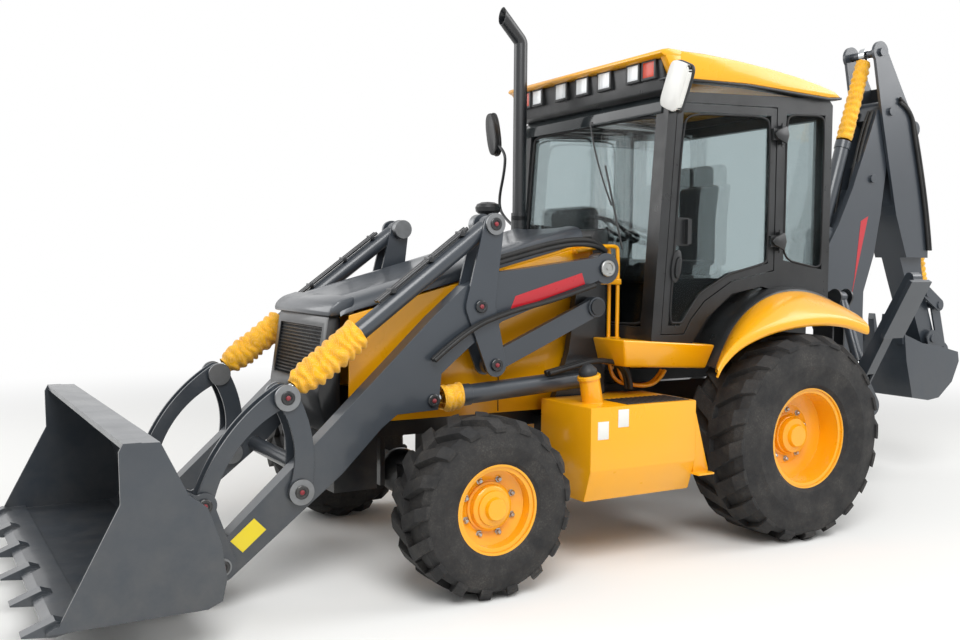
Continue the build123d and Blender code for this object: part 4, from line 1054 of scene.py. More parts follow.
@dataclass
class Mirrors:
    """Rounded mirror on the left pillar and a long-armed oval one on the right.

    Attributes:
        tube: Radius of the arms.
    """

    tube: float = 0.011

    def head(self, name: str, corners: Outline, ahead: float, machine: Machine, back: Finish) -> None:
        """Makes a mirror's shell with a rim and its reflecting pane.

        Args:
            name: Name of the mirror.
            corners: Its outline, to the left and up.
            ahead: Its place ahead of the rear axle.
            machine: Places on the machine.
            back: Finish of the shell.
        """
        place = machine.at(ahead, 0, 0).x
        middle = [sum(column) / len(corners) for column in zip(*corners)]
        # ending of the name, width and height against the outline, where it starts and ends, radius, finish
        rows = [("", 1, 1, -0.016, 0.030, 0.012, back), ("_rim", 1.05, 1.04, -0.026, -0.004, 0.006, TRIM),
                ("_pane", 0.94, 0.95, -0.029, -0.022, 0.002, MIRROR)]
        for ending, wide, high, low, top, round_by, finish in rows:
            outline = [(middle[0] + (a - middle[0]) * wide, middle[1] + (b - middle[1]) * high)
                       for a, b in corners]
            piece = plate(f"{name}{ending}", outline, place + low, place + top, Across.X, round_by)
            dress(piece, finish)

    def build(self, machine: Machine) -> None:
        """Makes both mirrors and their arms."""
        self.head("left_mirror", rounded((1.038, 2.735), 0.172, 0.275, -24, 5.0), 1.055, machine, WHITE_FILM)
        arms = [machine.tube("left_mirror_arm", self.tube, (0.88, 0.80, 2.66), (0.90, 0.90, 2.66),
                             (0.99, 1.01, 2.67), (1.05, 1.035, 2.69)),
                machine.tube("left_mirror_stay", self.tube * 0.8, (0.88, 0.80, 2.78), (0.92, 0.90, 2.79),
                             (1.03, 1.03, 2.80), (1.05, 1.035, 2.78)),
                machine.box("left_mirror_foot", (0.862, 0.798, 2.63), (0.904, 0.826, 2.81), 0.006)]
        self.head("right_mirror", rounded((-1.069, 2.69), 0.125, 0.325, 14, 2.6), 1.0, machine, TRIM)
        arms += [machine.tube("right_mirror_arm", self.tube, (0.955, -0.80, 1.98), (0.975, -0.95, 2.06),
                              (1.0, -0.995, 2.175), (1.0, -0.90, 2.42), (1.0, -0.90, 2.56),
                              (1.0, -1.04, 2.62)),
                 machine.box("right_mirror_foot", (0.93, -0.826, 1.93), (0.965, -0.798, 2.03), 0.006)]
        dress(joined("mirror_arms", arms), BLACK)


@dataclass
class DoorFittings:
    """Seals, oval handle and rounded hinge covers of both doors, and the wiper.

    Attributes:
        outer: Side of the door's outer face from the middle.
        handle: Place of the handle, ahead and up.
        screen_foot: Height and place ahead of the windscreen's lower edge in millimetres.
        screen_top: The same of its upper edge.
        seal: Radius of the side panes' seals.
        screen_seal: Radius of the windscreen's seal.
    """

    outer: float = 0.798
    handle: tuple[float, float] = (0.83, 1.716)
    screen_foot: tuple[float, float] = (1346, 981)
    screen_top: tuple[float, float] = (2638, 883)
    seal: float = 0.007
    screen_seal: float = 0.010

    def build(self, machine: Machine) -> None:
        """Makes the fittings of the left door and mirrors them onto the right one."""
        door = [(872, 1372), (788, 2634), (62, 2672), (62, 1748), (160, 1722), (392, 1670), (640, 1546),
                (776, 1372)]
        window = [(-84, 1764), (-84, 2696), (-436, 2716), (-436, 1706)]
        # name, outline, side
        rows = [("door_seal", door, self.outer + 0.001), ("quarter_seal", window, 0.80)]
        seal, quarter = [bead(name, [Vector((a, side, b)) for a, b in machine.line(outline)], self.seal,
                              0.06) for name, outline, side in rows]
        raised = []
        for up in (1880, 2560):
            cover = [(-46, up - 58), (-66, up), (-46, up + 58), (40, up + 26), (64, up), (40, up - 26)]
            raised.append(machine.slab("hinge_cover", cover, 0.826, 0.846, 0.008))
        # name, shift of the middle ahead and up, width, height, where it starts and ends, radius of its edges
        rows = [("handle_plate", (0.0, 0.0), 0.075, 0.20, -0.004, 0.012, 0.005),
                ("handle_grip", (-0.004, -0.01), 0.042, 0.13, 0.008, 0.026, 0.007)]
        for name, shift, wide, high, low, top, round_by in rows:
            middle = (self.handle[0] + shift[0], self.handle[1] + shift[1])
            outline = [(machine.rear_axle + a, b) for a, b in rounded(middle, wide, high, 8, 2.2)]
            raised.append(plate(name, outline, self.outer + low, self.outer + top, round_by=round_by))
        fittings = joined("door_fittings_left", raised)
        dress_both(seal, "door_seal_right", SEAL, "door_left")
        dress_both(quarter, "quarter_seal_right", SEAL)
        dress_both(fittings, "door_fittings_left_right", TRIM, "door_left")
        self.wiper(machine)

    def wiper(self, machine: Machine) -> None:
        """Makes the windscreen's seal and its wiper."""
        corners = machine.places((0.982, -0.684, 1.352), (0.982, 0.684, 1.352), (0.885, 0.684, 2.634),
                                 (0.885, -0.684, 2.634))
        dress(bead("windscreen_seal", corners, self.screen_seal, 0.03), SEAL)
        (foot_up, foot_ahead), (top_up, top_ahead) = self.screen_foot, self.screen_top
        lean = (top_ahead - foot_ahead) / (top_up - foot_up)

        def on_glass(side: float, up: float, off: float) -> Point:
            """Returns a place in front of the windscreen."""
            return ((foot_ahead + lean * (up * 1000 - foot_up)) / 1000 + off, side, up)

        arm = machine.tube("wiper_arm", 0.006, on_glass(0.05, 2.64, 0.045), on_glass(0.12, 2.40, 0.04),
                           on_glass(0.32, 2.10, 0.03), sides=2)
        blade = machine.tube("wiper_blade", 0.007, on_glass(0.20, 2.36, 0.012), on_glass(0.32, 2.10, 0.014),
                             on_glass(0.44, 1.82, 0.012), sides=2)
        boss = machine.spun("wiper_boss", ring(0, 0.022, 0, 0.03, 0.006), on_glass(0.05, 2.64, 0.01),
                            (1, 0, 0))
        dress(joined("wiper", [arm, blade, boss]), TRIM)


@dataclass
class Fenders:
    """Crowned rear fenders with their black lips, and the skirts below the doors.

    Attributes:
        inner: Side of the inner edge.
        outer: Side of the outer edge.
        drop: Depth of the rolled outer edge.
        wall: Thickness of the fender and the lip.
    """

    inner: float = 0.865
    outer: float = 1.118
    drop: float = 0.045
    wall: float = 0.012

    def build(self, machine: Machine) -> None:
        """Makes the left side and mirrors it."""
        high = [(0.545, 1.075), (0.50, 1.19), (0.43, 1.32), (0.32, 1.433), (0.14, 1.535), (-0.073, 1.574),
                (-0.27, 1.556), (-0.43, 1.505), (-0.56, 1.44)]
        low = [(0.775, 1.115), (0.745, 1.168), (0.665, 1.238), (0.566, 1.298), (0.35, 1.37), (0.106, 1.404),
               (-0.13, 1.412), (-0.348, 1.394), (-0.53, 1.336)]
        rows, lip_rows = [], []
        for (xa, za), (xb, zb) in zip(high, low):
            crown = [(xa + (xb - xa) * share, self.inner + (self.outer - self.inner) * share,
                      za + (zb - za) * share + bulge)
                     for share, bulge in ((0.25, 0.016), (0.5, 0.026), (0.75, 0.022), (0.93, 0.008))]
            rows.append(machine.places((xa, self.inner, za - 0.03), (xa, self.inner, za), *crown,
                                       (xb, self.outer, zb), (xb, self.outer + 0.004, zb - self.drop),
                                       (xb, self.outer - 0.014, zb - self.drop - 0.008)))
            lip_rows.append(machine.places((xa + 0.01, 0.64, za + 0.018), (xa + 0.01, 0.80, za + 0.020),
                                           (xa + 0.004, 0.835, za + 0.018),
                                           (xa, self.inner + 0.012, za + 0.006),
                                           (xa, self.inner + 0.016, za - 0.02)))
        fender = sheet("rear_fender_left", rows, self.wall)
        lip = sheet("fender_lip_left", lip_rows, self.wall)
        skirt = self.skirt(machine)
        dress_both(fender, "rear_fender_right", YELLOW, slot="body_yellow")
        dress_both(lip, "fender_lip_right", TRIM)
        dress_both(skirt, "door_skirt_right", YELLOW, slot="body_yellow")
        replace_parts(fender, "rear_fenders")

    def skirt(self, machine: Machine) -> Piece:
        """Makes the skirt below the left door: a tray that narrows downwards."""
        # whether in front and whether on top: place ahead, height, side of the outer corner
        corners = {(True, True): (1.245, 1.283, 0.835), (False, True): (0.525, 1.232, 0.835),
                   (True, False): (1.195, 1.118, 0.79), (False, False): (0.56, 1.082, 0.79)}
        deselect()
        bpy.ops.mesh.primitive_cube_add(size=1)
        for vertex in bpy.context.object.data.vertices:
            ahead, up, side = corners[vertex.co.x > 0, vertex.co.z > 0]
            vertex.co = machine.at(ahead, side if vertex.co.y > 0 else 0.52, up)
        piece = opened("door_skirt_left")
        bpy.ops.mesh.bevel(offset=0.016, offset_type="OFFSET", segments=3, affect="EDGES")
        return closed(piece)


# ---------------------------------------------------------------- bonnet and exhaust
@dataclass
class Exhaust:
    """Engine block under the bonnet and the exhaust pipe with its slant-cut mouth.

    Attributes:
        pipe: Radius of the pipe.
        wall: Thickness of its wall.
        place: Place of the pipe, ahead and to the left.
    """

    pipe: float = 0.047
    wall: float = 0.004
    place: tuple[float, float] = (1.195, -0.395)

    def build(self, machine: Machine) -> None:
        """Makes the pipe, its clamp and the block."""
        ahead, side = self.place
        route = [(ahead, side, up) for up in (1.75, 2.2, 2.7, 3.12, 3.20, 3.22)]
        pipe = machine.tube("exhaust_pipe", self.pipe, *route, (ahead + 0.010, side, 3.24),
                            (ahead + 0.03, side, 3.26), (ahead + 0.24, side, 3.475), sides=6)
        mouth(pipe, machine.at(ahead + 0.150, side, 3.38), Vector((1, 0, 0.10)), self.wall,
              Vector((-0.04, 0, -0.041)))
        # name, height of its foot, how far it stands out from the pipe, its length, radius of its edge
        rows = [("exhaust_lower", 1.75, 0.008, 0.32, 0), ("exhaust_clamp", 2.02, 0.008, 0.03, 0),
                ("exhaust_collar", 1.905, 0.016, 0.016, 0.004)]
        collars = [machine.spun(name, ring(self.pipe, self.pipe + out, 0, length, round_by),
                                (ahead, side, up), UP) for name, up, out, length, round_by in rows]
        dress(joined("exhaust_pipe", [pipe, *collars]), BLACK)
        pieces = [machine.box("engine_block", (1.42, -0.24, 0.82), (2.48, 0.24, 1.38), 0.02)]
        pieces += [machine.box("engine_foot", (foot, lane - 0.03, 0.84), (foot + 0.1, lane + 0.03, 0.92),
                               0.008) for foot in (1.55, 2.30) for lane in (-0.27, 0.27)]
        engine = dress(joined("engine_block", pieces), IRON, slot="engine_iron")
        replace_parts(engine, "engine_and_exhaust")


@dataclass
class Bonnet:
    """Bonnet lid with rounded shoulders, its nose with the grille and the pre-cleaner.

    Attributes:
        half: Half the lid's width.
        nose_half: Half the nose's width.
        slats: Number of bars up the grille, and of posts on each side of its middle.
    """

    half: float = 0.452
    nose_half: float = 0.398
    slats: int = 18

    def lid(self, machine: Machine) -> Piece:
        """Makes the lid: a crowned top between rounded shoulders."""
        # place ahead and height of the top, height of the lid's lower edge
        stations = [(2.86, 1.505, 1.43), (2.84, 1.517, 1.445), (2.78, 1.538, 1.465), (2.5, 1.615, 1.53),
                    (2.1, 1.728, 1.632), (1.7, 1.842, 1.742), (1.272, 1.958, 1.85)]
        # share of the half width, drop below the top
        shoulder = [(-0.998, 0.072), (-0.955, 0.026), (-0.86, 0.008), (-0.62, 0.0), (-0.56, 0.010),
                    (0.0, 0.014)]
        rows = []
        for ahead, up, low in stations:
            half_row = [(-self.half, low)]
            half_row += [(share * self.half, max(up - drop, low + 0.004)) for share, drop in shoulder]
            full = half_row + [(-side, up_at) for side, up_at in reversed(half_row[:-1])]
            rows.append(machine.places(*((ahead, side, up_at) for side, up_at in full)))
        return sheet("bonnet_lid", rows, 0.010)

    def nose(self, machine: Machine) -> list[Piece]:
        """Makes the nose shell, the recessed badge plate left bare and the grille's bars and posts."""
        shell = machine.slab("bonnet_nose",
                             [(2830, 1436), (2906, 1436), (2970, 1012), (2916, 792), (2830, 792)],
                             -self.nose_half, self.nose_half, 0.022)
        front = {face.index for face in shell.data.polygons
                 if face.normal.x > 0.9 and face.area > 0.05 and face.center.z > 1.02}
        recessed(shell, front, 0.045, 0.030)
        low, high = Vector((2.966, 0, 1.055)), Vector((2.912, 0, 1.400))
        reach = self.nose_half - 0.055
        bar = block("grille_bar", (-0.003, -reach, -0.0035), (0.003, reach, 0.0035), 0.0012)
        lean, rise = high.x - low.x, high.z - low.z
        post = plate("grille_post", [(0, 0), (0.005, 0), (lean + 0.005, rise), (lean, rise)], -0.003, 0.003,
                     round_by=0.001)
        pieces = []
        for number in range(self.slats + 1):
            place = low.lerp(high, number / self.slats)
            pieces.append(copy_of(bar, Matrix.Translation(machine.at(place.x - 0.014, 0, place.z))))
        for number in range(-self.slats, self.slats + 1):
            side = number * (self.nose_half - 0.06) / self.slats
            pieces.append(copy_of(post, Matrix.Translation(machine.at(low.x - 0.020, side, low.z))))
        for pattern in (bar, post):
            bpy.data.objects.remove(pattern)
        return [shell, joined("grille_mesh", pieces)]

    def build(self, machine: Machine) -> None:
        """Makes the whole lid; all of it opens together."""
        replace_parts(dress(self.lid(machine), SLATE, "bonnet", "frame_grey"), "bonnet")
        shell, grille = self.nose(machine)
        lip = machine.slab("lid_lip", [(2770, 1442), (2926, 1430), (2916, 1478), (2872, 1516), (2770, 1546)],
                           -0.447, 0.447, 0.020)
        dress(lip, SLATE, "bonnet", "frame_grey")
        dress(shell, BLACK, "bonnet", "frame_grey")
        dress(grille, TRIM, "bonnet")
        cap = machine.spun("pre_cleaner",
                           [(-0.16, 0.0), (-0.16, 0.032), (0.0, 0.033), (0.006, 0.062), (0.02, 0.078),
                            (0.045, 0.082), (0.066, 0.070), (0.078, 0.044), (0.082, 0.0)],
                           (1.62, -0.10, 2.035), UP, 40)
        dress(cap, TRIM, "bonnet")
        barrels = [machine.spun("bonnet_hinge", ring(0.0075, 0.016, -0.02, 0.02, 0.003),
                                (1.262, side, 1.925), LEFT, 20) for side in (-0.275, 0.275)]
        dress(joined("bonnet_hinges", barrels), ZINC, "bonnet")


@dataclass
class Cowl:
    """Side panels under the bonnet, the dark cowl before the windscreen and the pipes on it.

    Attributes:
        half: Side of the panels' outer faces.
        sheet: Thickness of the panels.
        pipe: Radius of the yellow pipes.
    """

    half: float = 0.455
    sheet: float = 0.012
    pipe: float = 0.0125

    def build(self, machine: Machine) -> None:
        """Makes both panels, the cowl, the bulkhead and the pipes."""
        half = self.half
        # name, side outline, where it starts and ends, radius of its edges
        rows = [("side_panel", [(1196, 850), (2812, 850), (2812, 1438), (1889, 1676), (1196, 1850)],
                 half - self.sheet, half, 0.004),
                ("panel_seam", [(1868, 860), (1874, 860), (1874, 1672), (1868, 1674)], half - 0.002,
                 half + 0.0015, 0),
                ("panel_strip", [(1196, 1850), (1889, 1676), (1889, 1696), (1196, 1872)], half - 0.02,
                 half - 0.002, 0.003)]
        panel, seam, strip = [machine.slab(*row) for row in rows]
        rear = machine.box("rear_bulkhead", (1.196, -half, 0.86), (1.22, half, 1.84), 0.005)
        panels = joined("side_panels",
                        [panel, mirrored(panel, "side_panel_right"), strip,
                         mirrored(strip, "panel_strip_right"), rear])
        dress(panels, YELLOW, slot="body_yellow")
        dress(paired("panel_seams", seam), SEAL)
        cowl = machine.slab("cowl",
                            [(1022, 1262), (1190, 1262), (1190, 1900), (1160, 1935), (1060, 1950),
                             (1018, 1400)], -0.43, 0.43, 0.018)
        dress(cowl, TRIM)
        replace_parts(panels, "bonnet_surround")
        pipes = []
        for side, behind in ((0.478, 0.0), (0.512, 0.04)):
            upright = [(1.085 - behind, side, up) for up in (1.80, 1.50, 1.15)]
            pipes.append(machine.tube("cowl_pipe", self.pipe, (1.36, side, 1.80), (1.20, side, 1.828),
                                      (1.10 - behind, side, 1.84), *upright,
                                      (1.06 - behind, side + 0.02, 1.00), (0.92, side + 0.06, 0.965),
                                      (0.78, side + 0.08, 0.975), (0.72, side + 0.08, 1.06)))
        pipes += [machine.box("pipe_clamp", (1.03, 0.462, up), (1.19, 0.532, up + 0.035), 0.005)
                  for up in (1.60, 1.24)]
        dress(joined("cowl_pipes", pipes), YELLOW, slot="body_yellow")


@dataclass
class SideTanks:
    """Fuel tank and battery box with their steps, the filler, a tread patch and blank labels.

    Attributes:
        inner: Side of the inner walls.
        outer: Side of the outer walls.
        front: Place ahead of the front walls.
        rear: Place ahead of the rear walls.
        top: Height of the tops.
        foot: Height of the bottoms.
        filler: Foot of the filler neck.
        cap: Foot of its cap.
        lean: Direction of the neck.
    """

    inner: float = 0.55
    outer: float = 1.046
    front: float = 1.632
    rear: float = 0.868
    top: float = 0.935
    foot: float = 0.40
    filler: Point = (1.475, 0.85, 0.925)
    cap: Point = (1.51, 0.85, 1.093)
    lean: Point = (0.2, 0, 1)

    def build(self, machine: Machine) -> None:
        """Makes both boxes and what stands on the left one."""
        front, rear = machine.at(self.front, 0, 0).x, machine.at(self.rear, 0, 0).x
        section = [(self.inner, self.top), (self.outer, self.top), (self.outer, 0.58),
                   (self.outer - 0.06, self.foot), (self.inner, self.foot)]
        box = plate("tank_box", section, rear, front, Across.X, 0.008)
        step = plate("tank_step", [(self.inner, 0.505), (1.088, 0.505), (1.088, 0.492), (self.inner, 0.492)],
                     machine.at(0.755, 0, 0).x, rear + 0.01, Across.X, 0.003)
        bracket = machine.box("tank_bracket", (0.90, 0.40, 0.80), (1.13, self.inner + 0.01, 0.92), 0.01)
        brace = machine.slab("tank_brace", [(868, 900), (868, 500), (760, 500), (752, 512)],
                             self.outer - 0.03, self.outer - 0.015, 0.003)
        left = joined("tank_box_left", [box, step, bracket, brace])
        right = mirrored(left, "tank_box_right")
        # name, profile
        rows = [("filler_neck", ring(0, 0.060, 0.0, 0.16, 0.006)),
                ("filler_collar", ring(0, 0.068, 0.15, 0.172, 0.005))]
        necks = [machine.spun(name, profile, self.filler, self.lean, 40) for name, profile in rows]
        boxes = joined("side_boxes", [left, right, *necks])
        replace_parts(dress(boxes, YELLOW, slot="body_yellow"), "side_tanks")
        cap = machine.spun("filler_cap",
                           [(0, 0), (0, 0.050), (0.014, 0.054), (0.03, 0.052), (0.044, 0.040),
                            (0.058, 0.028), (0.064, 0.018), (0.066, 0)], self.cap, self.lean, 36)
        tread = machine.box("tread_patch", (0.90, 0.80, 0.934), (1.36, 1.02, 0.9385), 0.001)
        ribs = [machine.box("tread_rib", (0.92 + 0.035 * k, 0.81, 0.937), (0.932 + 0.035 * k, 1.01, 0.942),
                            0.001) for k in range(13)]
        dress(joined("tank_trim", [cap, tread, *ribs]), PLASTIC)
        labels = [machine.box("tank_label", (ahead - 0.075, self.outer - 0.001, up + 0.17),
                              (ahead, self.outer + FILM, up + 0.27), 0.0003)
                  for ahead, up in ((1.585, 0.585), (1.445, 0.645))]
        dress(joined("tank_labels", labels), WHITE_FILM, slot="body_yellow")


# ---------------------------------------------------------------- soft goods
@dataclass
class Sleeve:
    """Gathered cloth sleeve over a cylinder's gland.

    Attributes:
        name: Name of the sleeve.
        body: Body that it rides on.
        start: Where it starts on the cylinder's axis.
        end: Where it ends.
        radius: Mean radius.
        folds: Number of gathers along it.
        fold: Depth of the gathers.
        seed: Seed of its creases.
        slim: Share by which its end is narrower.
        wall: Thickness of the cloth.
        sag: How far its middle hangs.
        steps: Rows of faces along one gather.
        around: Faces round it.
    """

    name: str
    body: str
    start: Vector
    end: Vector
    radius: float
    folds: int = 9
    fold: float = 0.006
    seed: int = 1
    slim: float = 0.12
    wall: float = 0.0024
    sag: float = 0.006
    steps: int = 8
    around: int = 48

    def reach(self, turn: float, share: float) -> float:
        """Returns how far the wall is from the axis.

        Args:
            turn: Angle round the axis in radians.
            share: Place along the sleeve from 0 to 1.

        Returns:
            The distance: the mean radius with its gathers and creases.
        """
        place = Vector((math.cos(turn) * 0.9, math.sin(turn) * 0.9, share * 4.0 + self.seed * 7.3))
        crease = noise.noise(place)
        wave = math.sin(share * self.folds * 2 * math.pi + crease * 4.0 + math.sin(turn + crease) * 1.3)
        sharp = math.copysign(abs(wave) ** 0.7, wave)
        slim = 1 - self.slim * share ** 8
        depth = self.fold * (0.75 + 0.7 * noise.noise(place * 1.7))
        return self.radius * slim + depth * sharp + self.fold * 0.8 * crease

    def build(self) -> Piece:
        """Makes the sleeve as one thin wall with ring gathers, creases and a slight sag."""
        along = (self.end - self.start).normalized()
        side = along.cross(Vector((0, 1, 0))).normalized()
        other = along.cross(side)
        length = (self.end - self.start).length
        rings = self.folds * self.steps
        rows = []
        for j in range(rings + 1):
            share = j / rings
            sag = Vector((0, 0, -self.sag)) * math.sin(math.pi * share)
            row = []
            for i in range(self.around + 1):
                turn = 2 * math.pi * (i % self.around) / self.around
                radius = self.reach(turn, share)
                row.append(self.start + along * length * share + side * math.cos(turn) * radius
                           + other * math.sin(turn) * radius + sag)
            rows.append(row)
        sleeve = sheet(self.name, rows, self.wall, 0, around=True)
        dress(sleeve, SLEEVE_CLOTH, self.body, "body_yellow")
        return sleeve


class Sleeves:
    """Yellow sleeves of the tilt, dipper and dig cylinders and the boots of the lift ones."""

    def build(self, machine: Machine) -> None:
        """Makes all sleeves, left and right."""
        base, tip, foot, eye = machine.places(TILT_BASE, TILT_EYE, LIFT_BASE, LIFT_EYE)
        down = (tip - base).normalized()
        for name, side, seed in (("left", CYLINDER_LANE, 1), ("right", -CYLINDER_LANE, 2)):
            shift = Vector((0, side, 0))
            Sleeve(f"tilt_sleeve_{name}", "tilt_rods", base + down * 0.985 + shift,
                   base + down * 1.425 + shift, 0.080, 9, 0.0085, seed, 0.42).build()
            low, high = foot + shift, eye + shift
            run = (high - low).normalized()
            Sleeve(f"lift_boot_{name}", "lift_rods", low + run * 0.885, low + run * 1.0, 0.071, 3, 0.005,
                   seed + 5).build()
        # name, rod, base pin, eye, start and end along it, radius, gathers, share kept when squashed
        rows = [("dipper_sleeve", "dipper_rod", (-1.335, 0, 1.965), (-1.800, 0, 3.400), 0.790, 1.450, 0.058,
                 12, 0.035),
                ("dig_sleeve", "dig_rod", (-2.235, 0, 2.836), (-2.622, 0, 1.410), 1.025, 1.395, 0.054, 9,
                 0.2)]
        for name, rod, *pins, start, end, radius, folds, keep in rows:
            low, high = machine.places(*pins)
            run = (high - low).normalized()
            sleeve = Sleeve(name, rod, low + run * start, low + run * end, radius, folds, 0.005, 9).build()
            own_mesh(sleeve)


# ---------------------------------------------------------------- trim
@dataclass
class Trim:
    """Stripes, blank labels, greased pin heads and wheel nuts.

    Attributes:
        arm_face: Side of the lift arm's outer face.
        nut: Radius of a wheel nut.
    """

    arm_face: float = 0.65
    nut: float = 0.013

    def films(self, machine: Machine) -> None:
        """Lays the red pointed stripes and the blank labels on the side faces."""
        # name, side outline, side of the face, finish, body, whether on the right as well
        rows = [("arm_stripe", [(1918, 1452), (1880, 1540), (1420, 1672), (1395, 1606)], self.arm_face, RED,
                 "lift_arms", True),
                ("boom_stripe", [(-1560, 1450), (-1740, 2120), (-1655, 2080), (-1600, 1640)], 0.12, RED,
                 "boom", True),
                ("arm_label", [(3520, 352), (3400, 452), (3338, 388), (3458, 288)], self.arm_face,
                 YELLOW_FILM, "lift_arms", True),
                ("panel_label", [(2452, 985), (2452, 1075), (2512, 1060), (2512, 970)], 0.455, WHITE_FILM,
                 "chassis", False)]
        for name, outline, face, finish, body, both in rows:
            piece = machine.slab(name, outline, face, face + FILM)
            if both:
                dress(mirrored(piece, f"{name}_right"), finish, body, "body_yellow")
            dress(piece, finish, body, "body_yellow")

    def wheel(self, machine: Machine, end: str, side: str, circle: float, count: int, hub: float) -> None:
        """Sets the hub cap and the nuts on one wheel.

        Args:
            machine: Places on the machine.
            end: Which axle, rear or front.
            side: Which side, left or right.
            circle: Radius of the circle of nuts.
            count: Number of nuts.
            hub: Radius of the hub cap.
        """
        name = f"{end}_wheel_{side}"
        axle = machine.pins[name]
        sign = 1 if side == "left" else -1
        out = Vector((0, sign, 0))
        face = self.disc_face(machine, f"{end}_rim_{side}", axle, circle, sign)
        nut = turned("wheel_nut",
                     [(0, 0), (0, self.nut * 1.5), (0.004, self.nut * 1.5), (0.005, self.nut),
                      (0.017, self.nut), (0.021, self.nut * 0.7), (0.021, 0)], Vector((0, 0, 0)), out, 6)
        nuts = []
        for number in range(count):
            turn = 2 * math.pi * (number + 0.5) / count
            place = Vector((axle.x + circle * math.cos(turn), face, axle.z + circle * math.sin(turn)))
            nuts.append(copy_of(nut, Matrix.Translation(place)))
        bpy.data.objects.remove(nut)
        disc = turned(f"{name}_hub",
                      [(-0.01, 0), (-0.01, hub + 0.012), (0.006, hub + 0.012), (0.010, hub),
                       (0.040, hub - 0.004), (0.048, hub - 0.014), (0.052, hub * 0.5), (0.052, 0)],
                      Vector((axle.x, face, axle.z)), out, 40)
        dress(disc, YELLOW, name, "rim_yellow")
        dress(joined(f"{name}_nuts", nuts), ZINC, name, "pin_steel")

    def disc_face(self, machine: Machine, rim: str, axle: Vector, circle: float, sign: int) -> float:
        """Returns the side of a rim's disc where the nuts sit, found by a ray from outside."""
        node = machine.frame["nodes"][rim]
        start = Vector((axle.x + circle * 0.92, axle.y + sign * 0.6, axle.z + circle * 0.38))
        turn = node.matrix_world.inverted()
        hit, place, _, _ = node.ray_cast(turn @ start, turn.to_3x3() @ Vector((0, -sign, 0)))
        return (node.matrix_world @ place).y if hit else axle.y

    def outer_face(self, place: Vector, sign: int) -> float | None:
        """Returns the side of what a ray meets first from outside at a place, or None."""
        start = Vector((place.x, sign * 1.5, place.z))
        depsgraph = bpy.context.evaluated_depsgraph_get()
        hit, point, *_ = bpy.context.scene.ray_cast(depsgraph, start, Vector((0, -sign, 0)), distance=1.1)
        return point.y if hit else None

    def heads(self, machine: Machine, place: tuple[float, float],
              shapes: Sequence[tuple[str, Outline, int]]) -> list[list[Piece]]:
        """Sets turned pieces on what is outermost at a place, on the left and on the right.

        Args:
            machine: Places on the machine.
            place: Place ahead and up.
            shapes: Name, profile and number of faces of each piece.

        Returns:
            The pieces of each side; a side where the ray meets nothing gets none.
        """
        ahead, up = place
        sides = []
        for sign in (1, -1):
            face = self.outer_face(machine.at(ahead, 0, up), sign)
            if face is not None:
                sides.append([machine.spun(name, profile, (ahead, face - sign * 0.001, up), (0, sign, 0),
                                           steps) for name, profile, steps in shapes])
        return sides

    def pin_heads(self, machine: Machine) -> None:
        """Sets a dark greased disc with a red cap on the end of each loader pin."""
        shapes = [("pin_disc",
                   [(0, 0), (0, 0.036), (0.004, 0.036), (0.007, 0.032), (0.007, 0.020), (0.003, 0.018),
                    (0.003, 0)], 28),
                  ("grease_cap", [(0.002, 0), (0.002, 0.013), (0.008, 0.012), (0.011, 0.007), (0.012, 0)],
                   20)]
        # body: places ahead and up
        rows = {"lever_pins": [(2.033, 1.941)], "levelling_levers": [(2.118, 1.485), (2.015, 1.156)],
                "curve_pins": [(3.163, 0.563)], "curved_levers": [(3.235, 1.045)],
                "bucket_pins": [(3.565, 0.235)], "loader_bucket": [(3.650, 0.545)],
                "lift_barrels": [(1.330, 1.045)], "lift_rods": [(2.400, 0.977)]}
        found = {body: [side for place in places for side in self.heads(machine, place, shapes)]
                 for body, places in rows.items()}
        for body, sides in found.items():
            if sides:
                discs, caps = zip(*sides)
                dress(joined(f"{body}_discs", discs), BLACK, body, "pin_steel")
                dress(joined(f"{body}_caps", caps), RED_CAP, body)

    def arm_foot(self, machine: Machine) -> None:
        """Sets the bright ring and its cover on each arm's foot pin."""
        profile = [(0, 0), (0, 0.050), (0.010, 0.050), (0.014, 0.046), (0.014, 0.034), (0.006, 0.030),
                   (0.006, 0.012), (0.012, 0.010), (0.012, 0)]
        rings = [piece for side in self.heads(machine, (1.239, 1.699), [("arm_ring", profile, 36)])
                 for piece in side]
        if rings:
            dress(joined("arm_foot_rings", rings), ZINC, slot="pin_steel")

    def build(self, machine: Machine) -> None:
        """Makes all trim."""
        self.pin_heads(machine)
        self.arm_foot(machine)
        self.films(machine)
        # axle, radius of the circle of nuts, their number, radius of the hub cap
        for end, circle, count, hub in (("rear", 0.160, 10, 0.125), ("front", 0.150, 8, 0.118)):
            for side in ("left", "right"):
                self.wheel(machine, end, side, circle, count, hub)


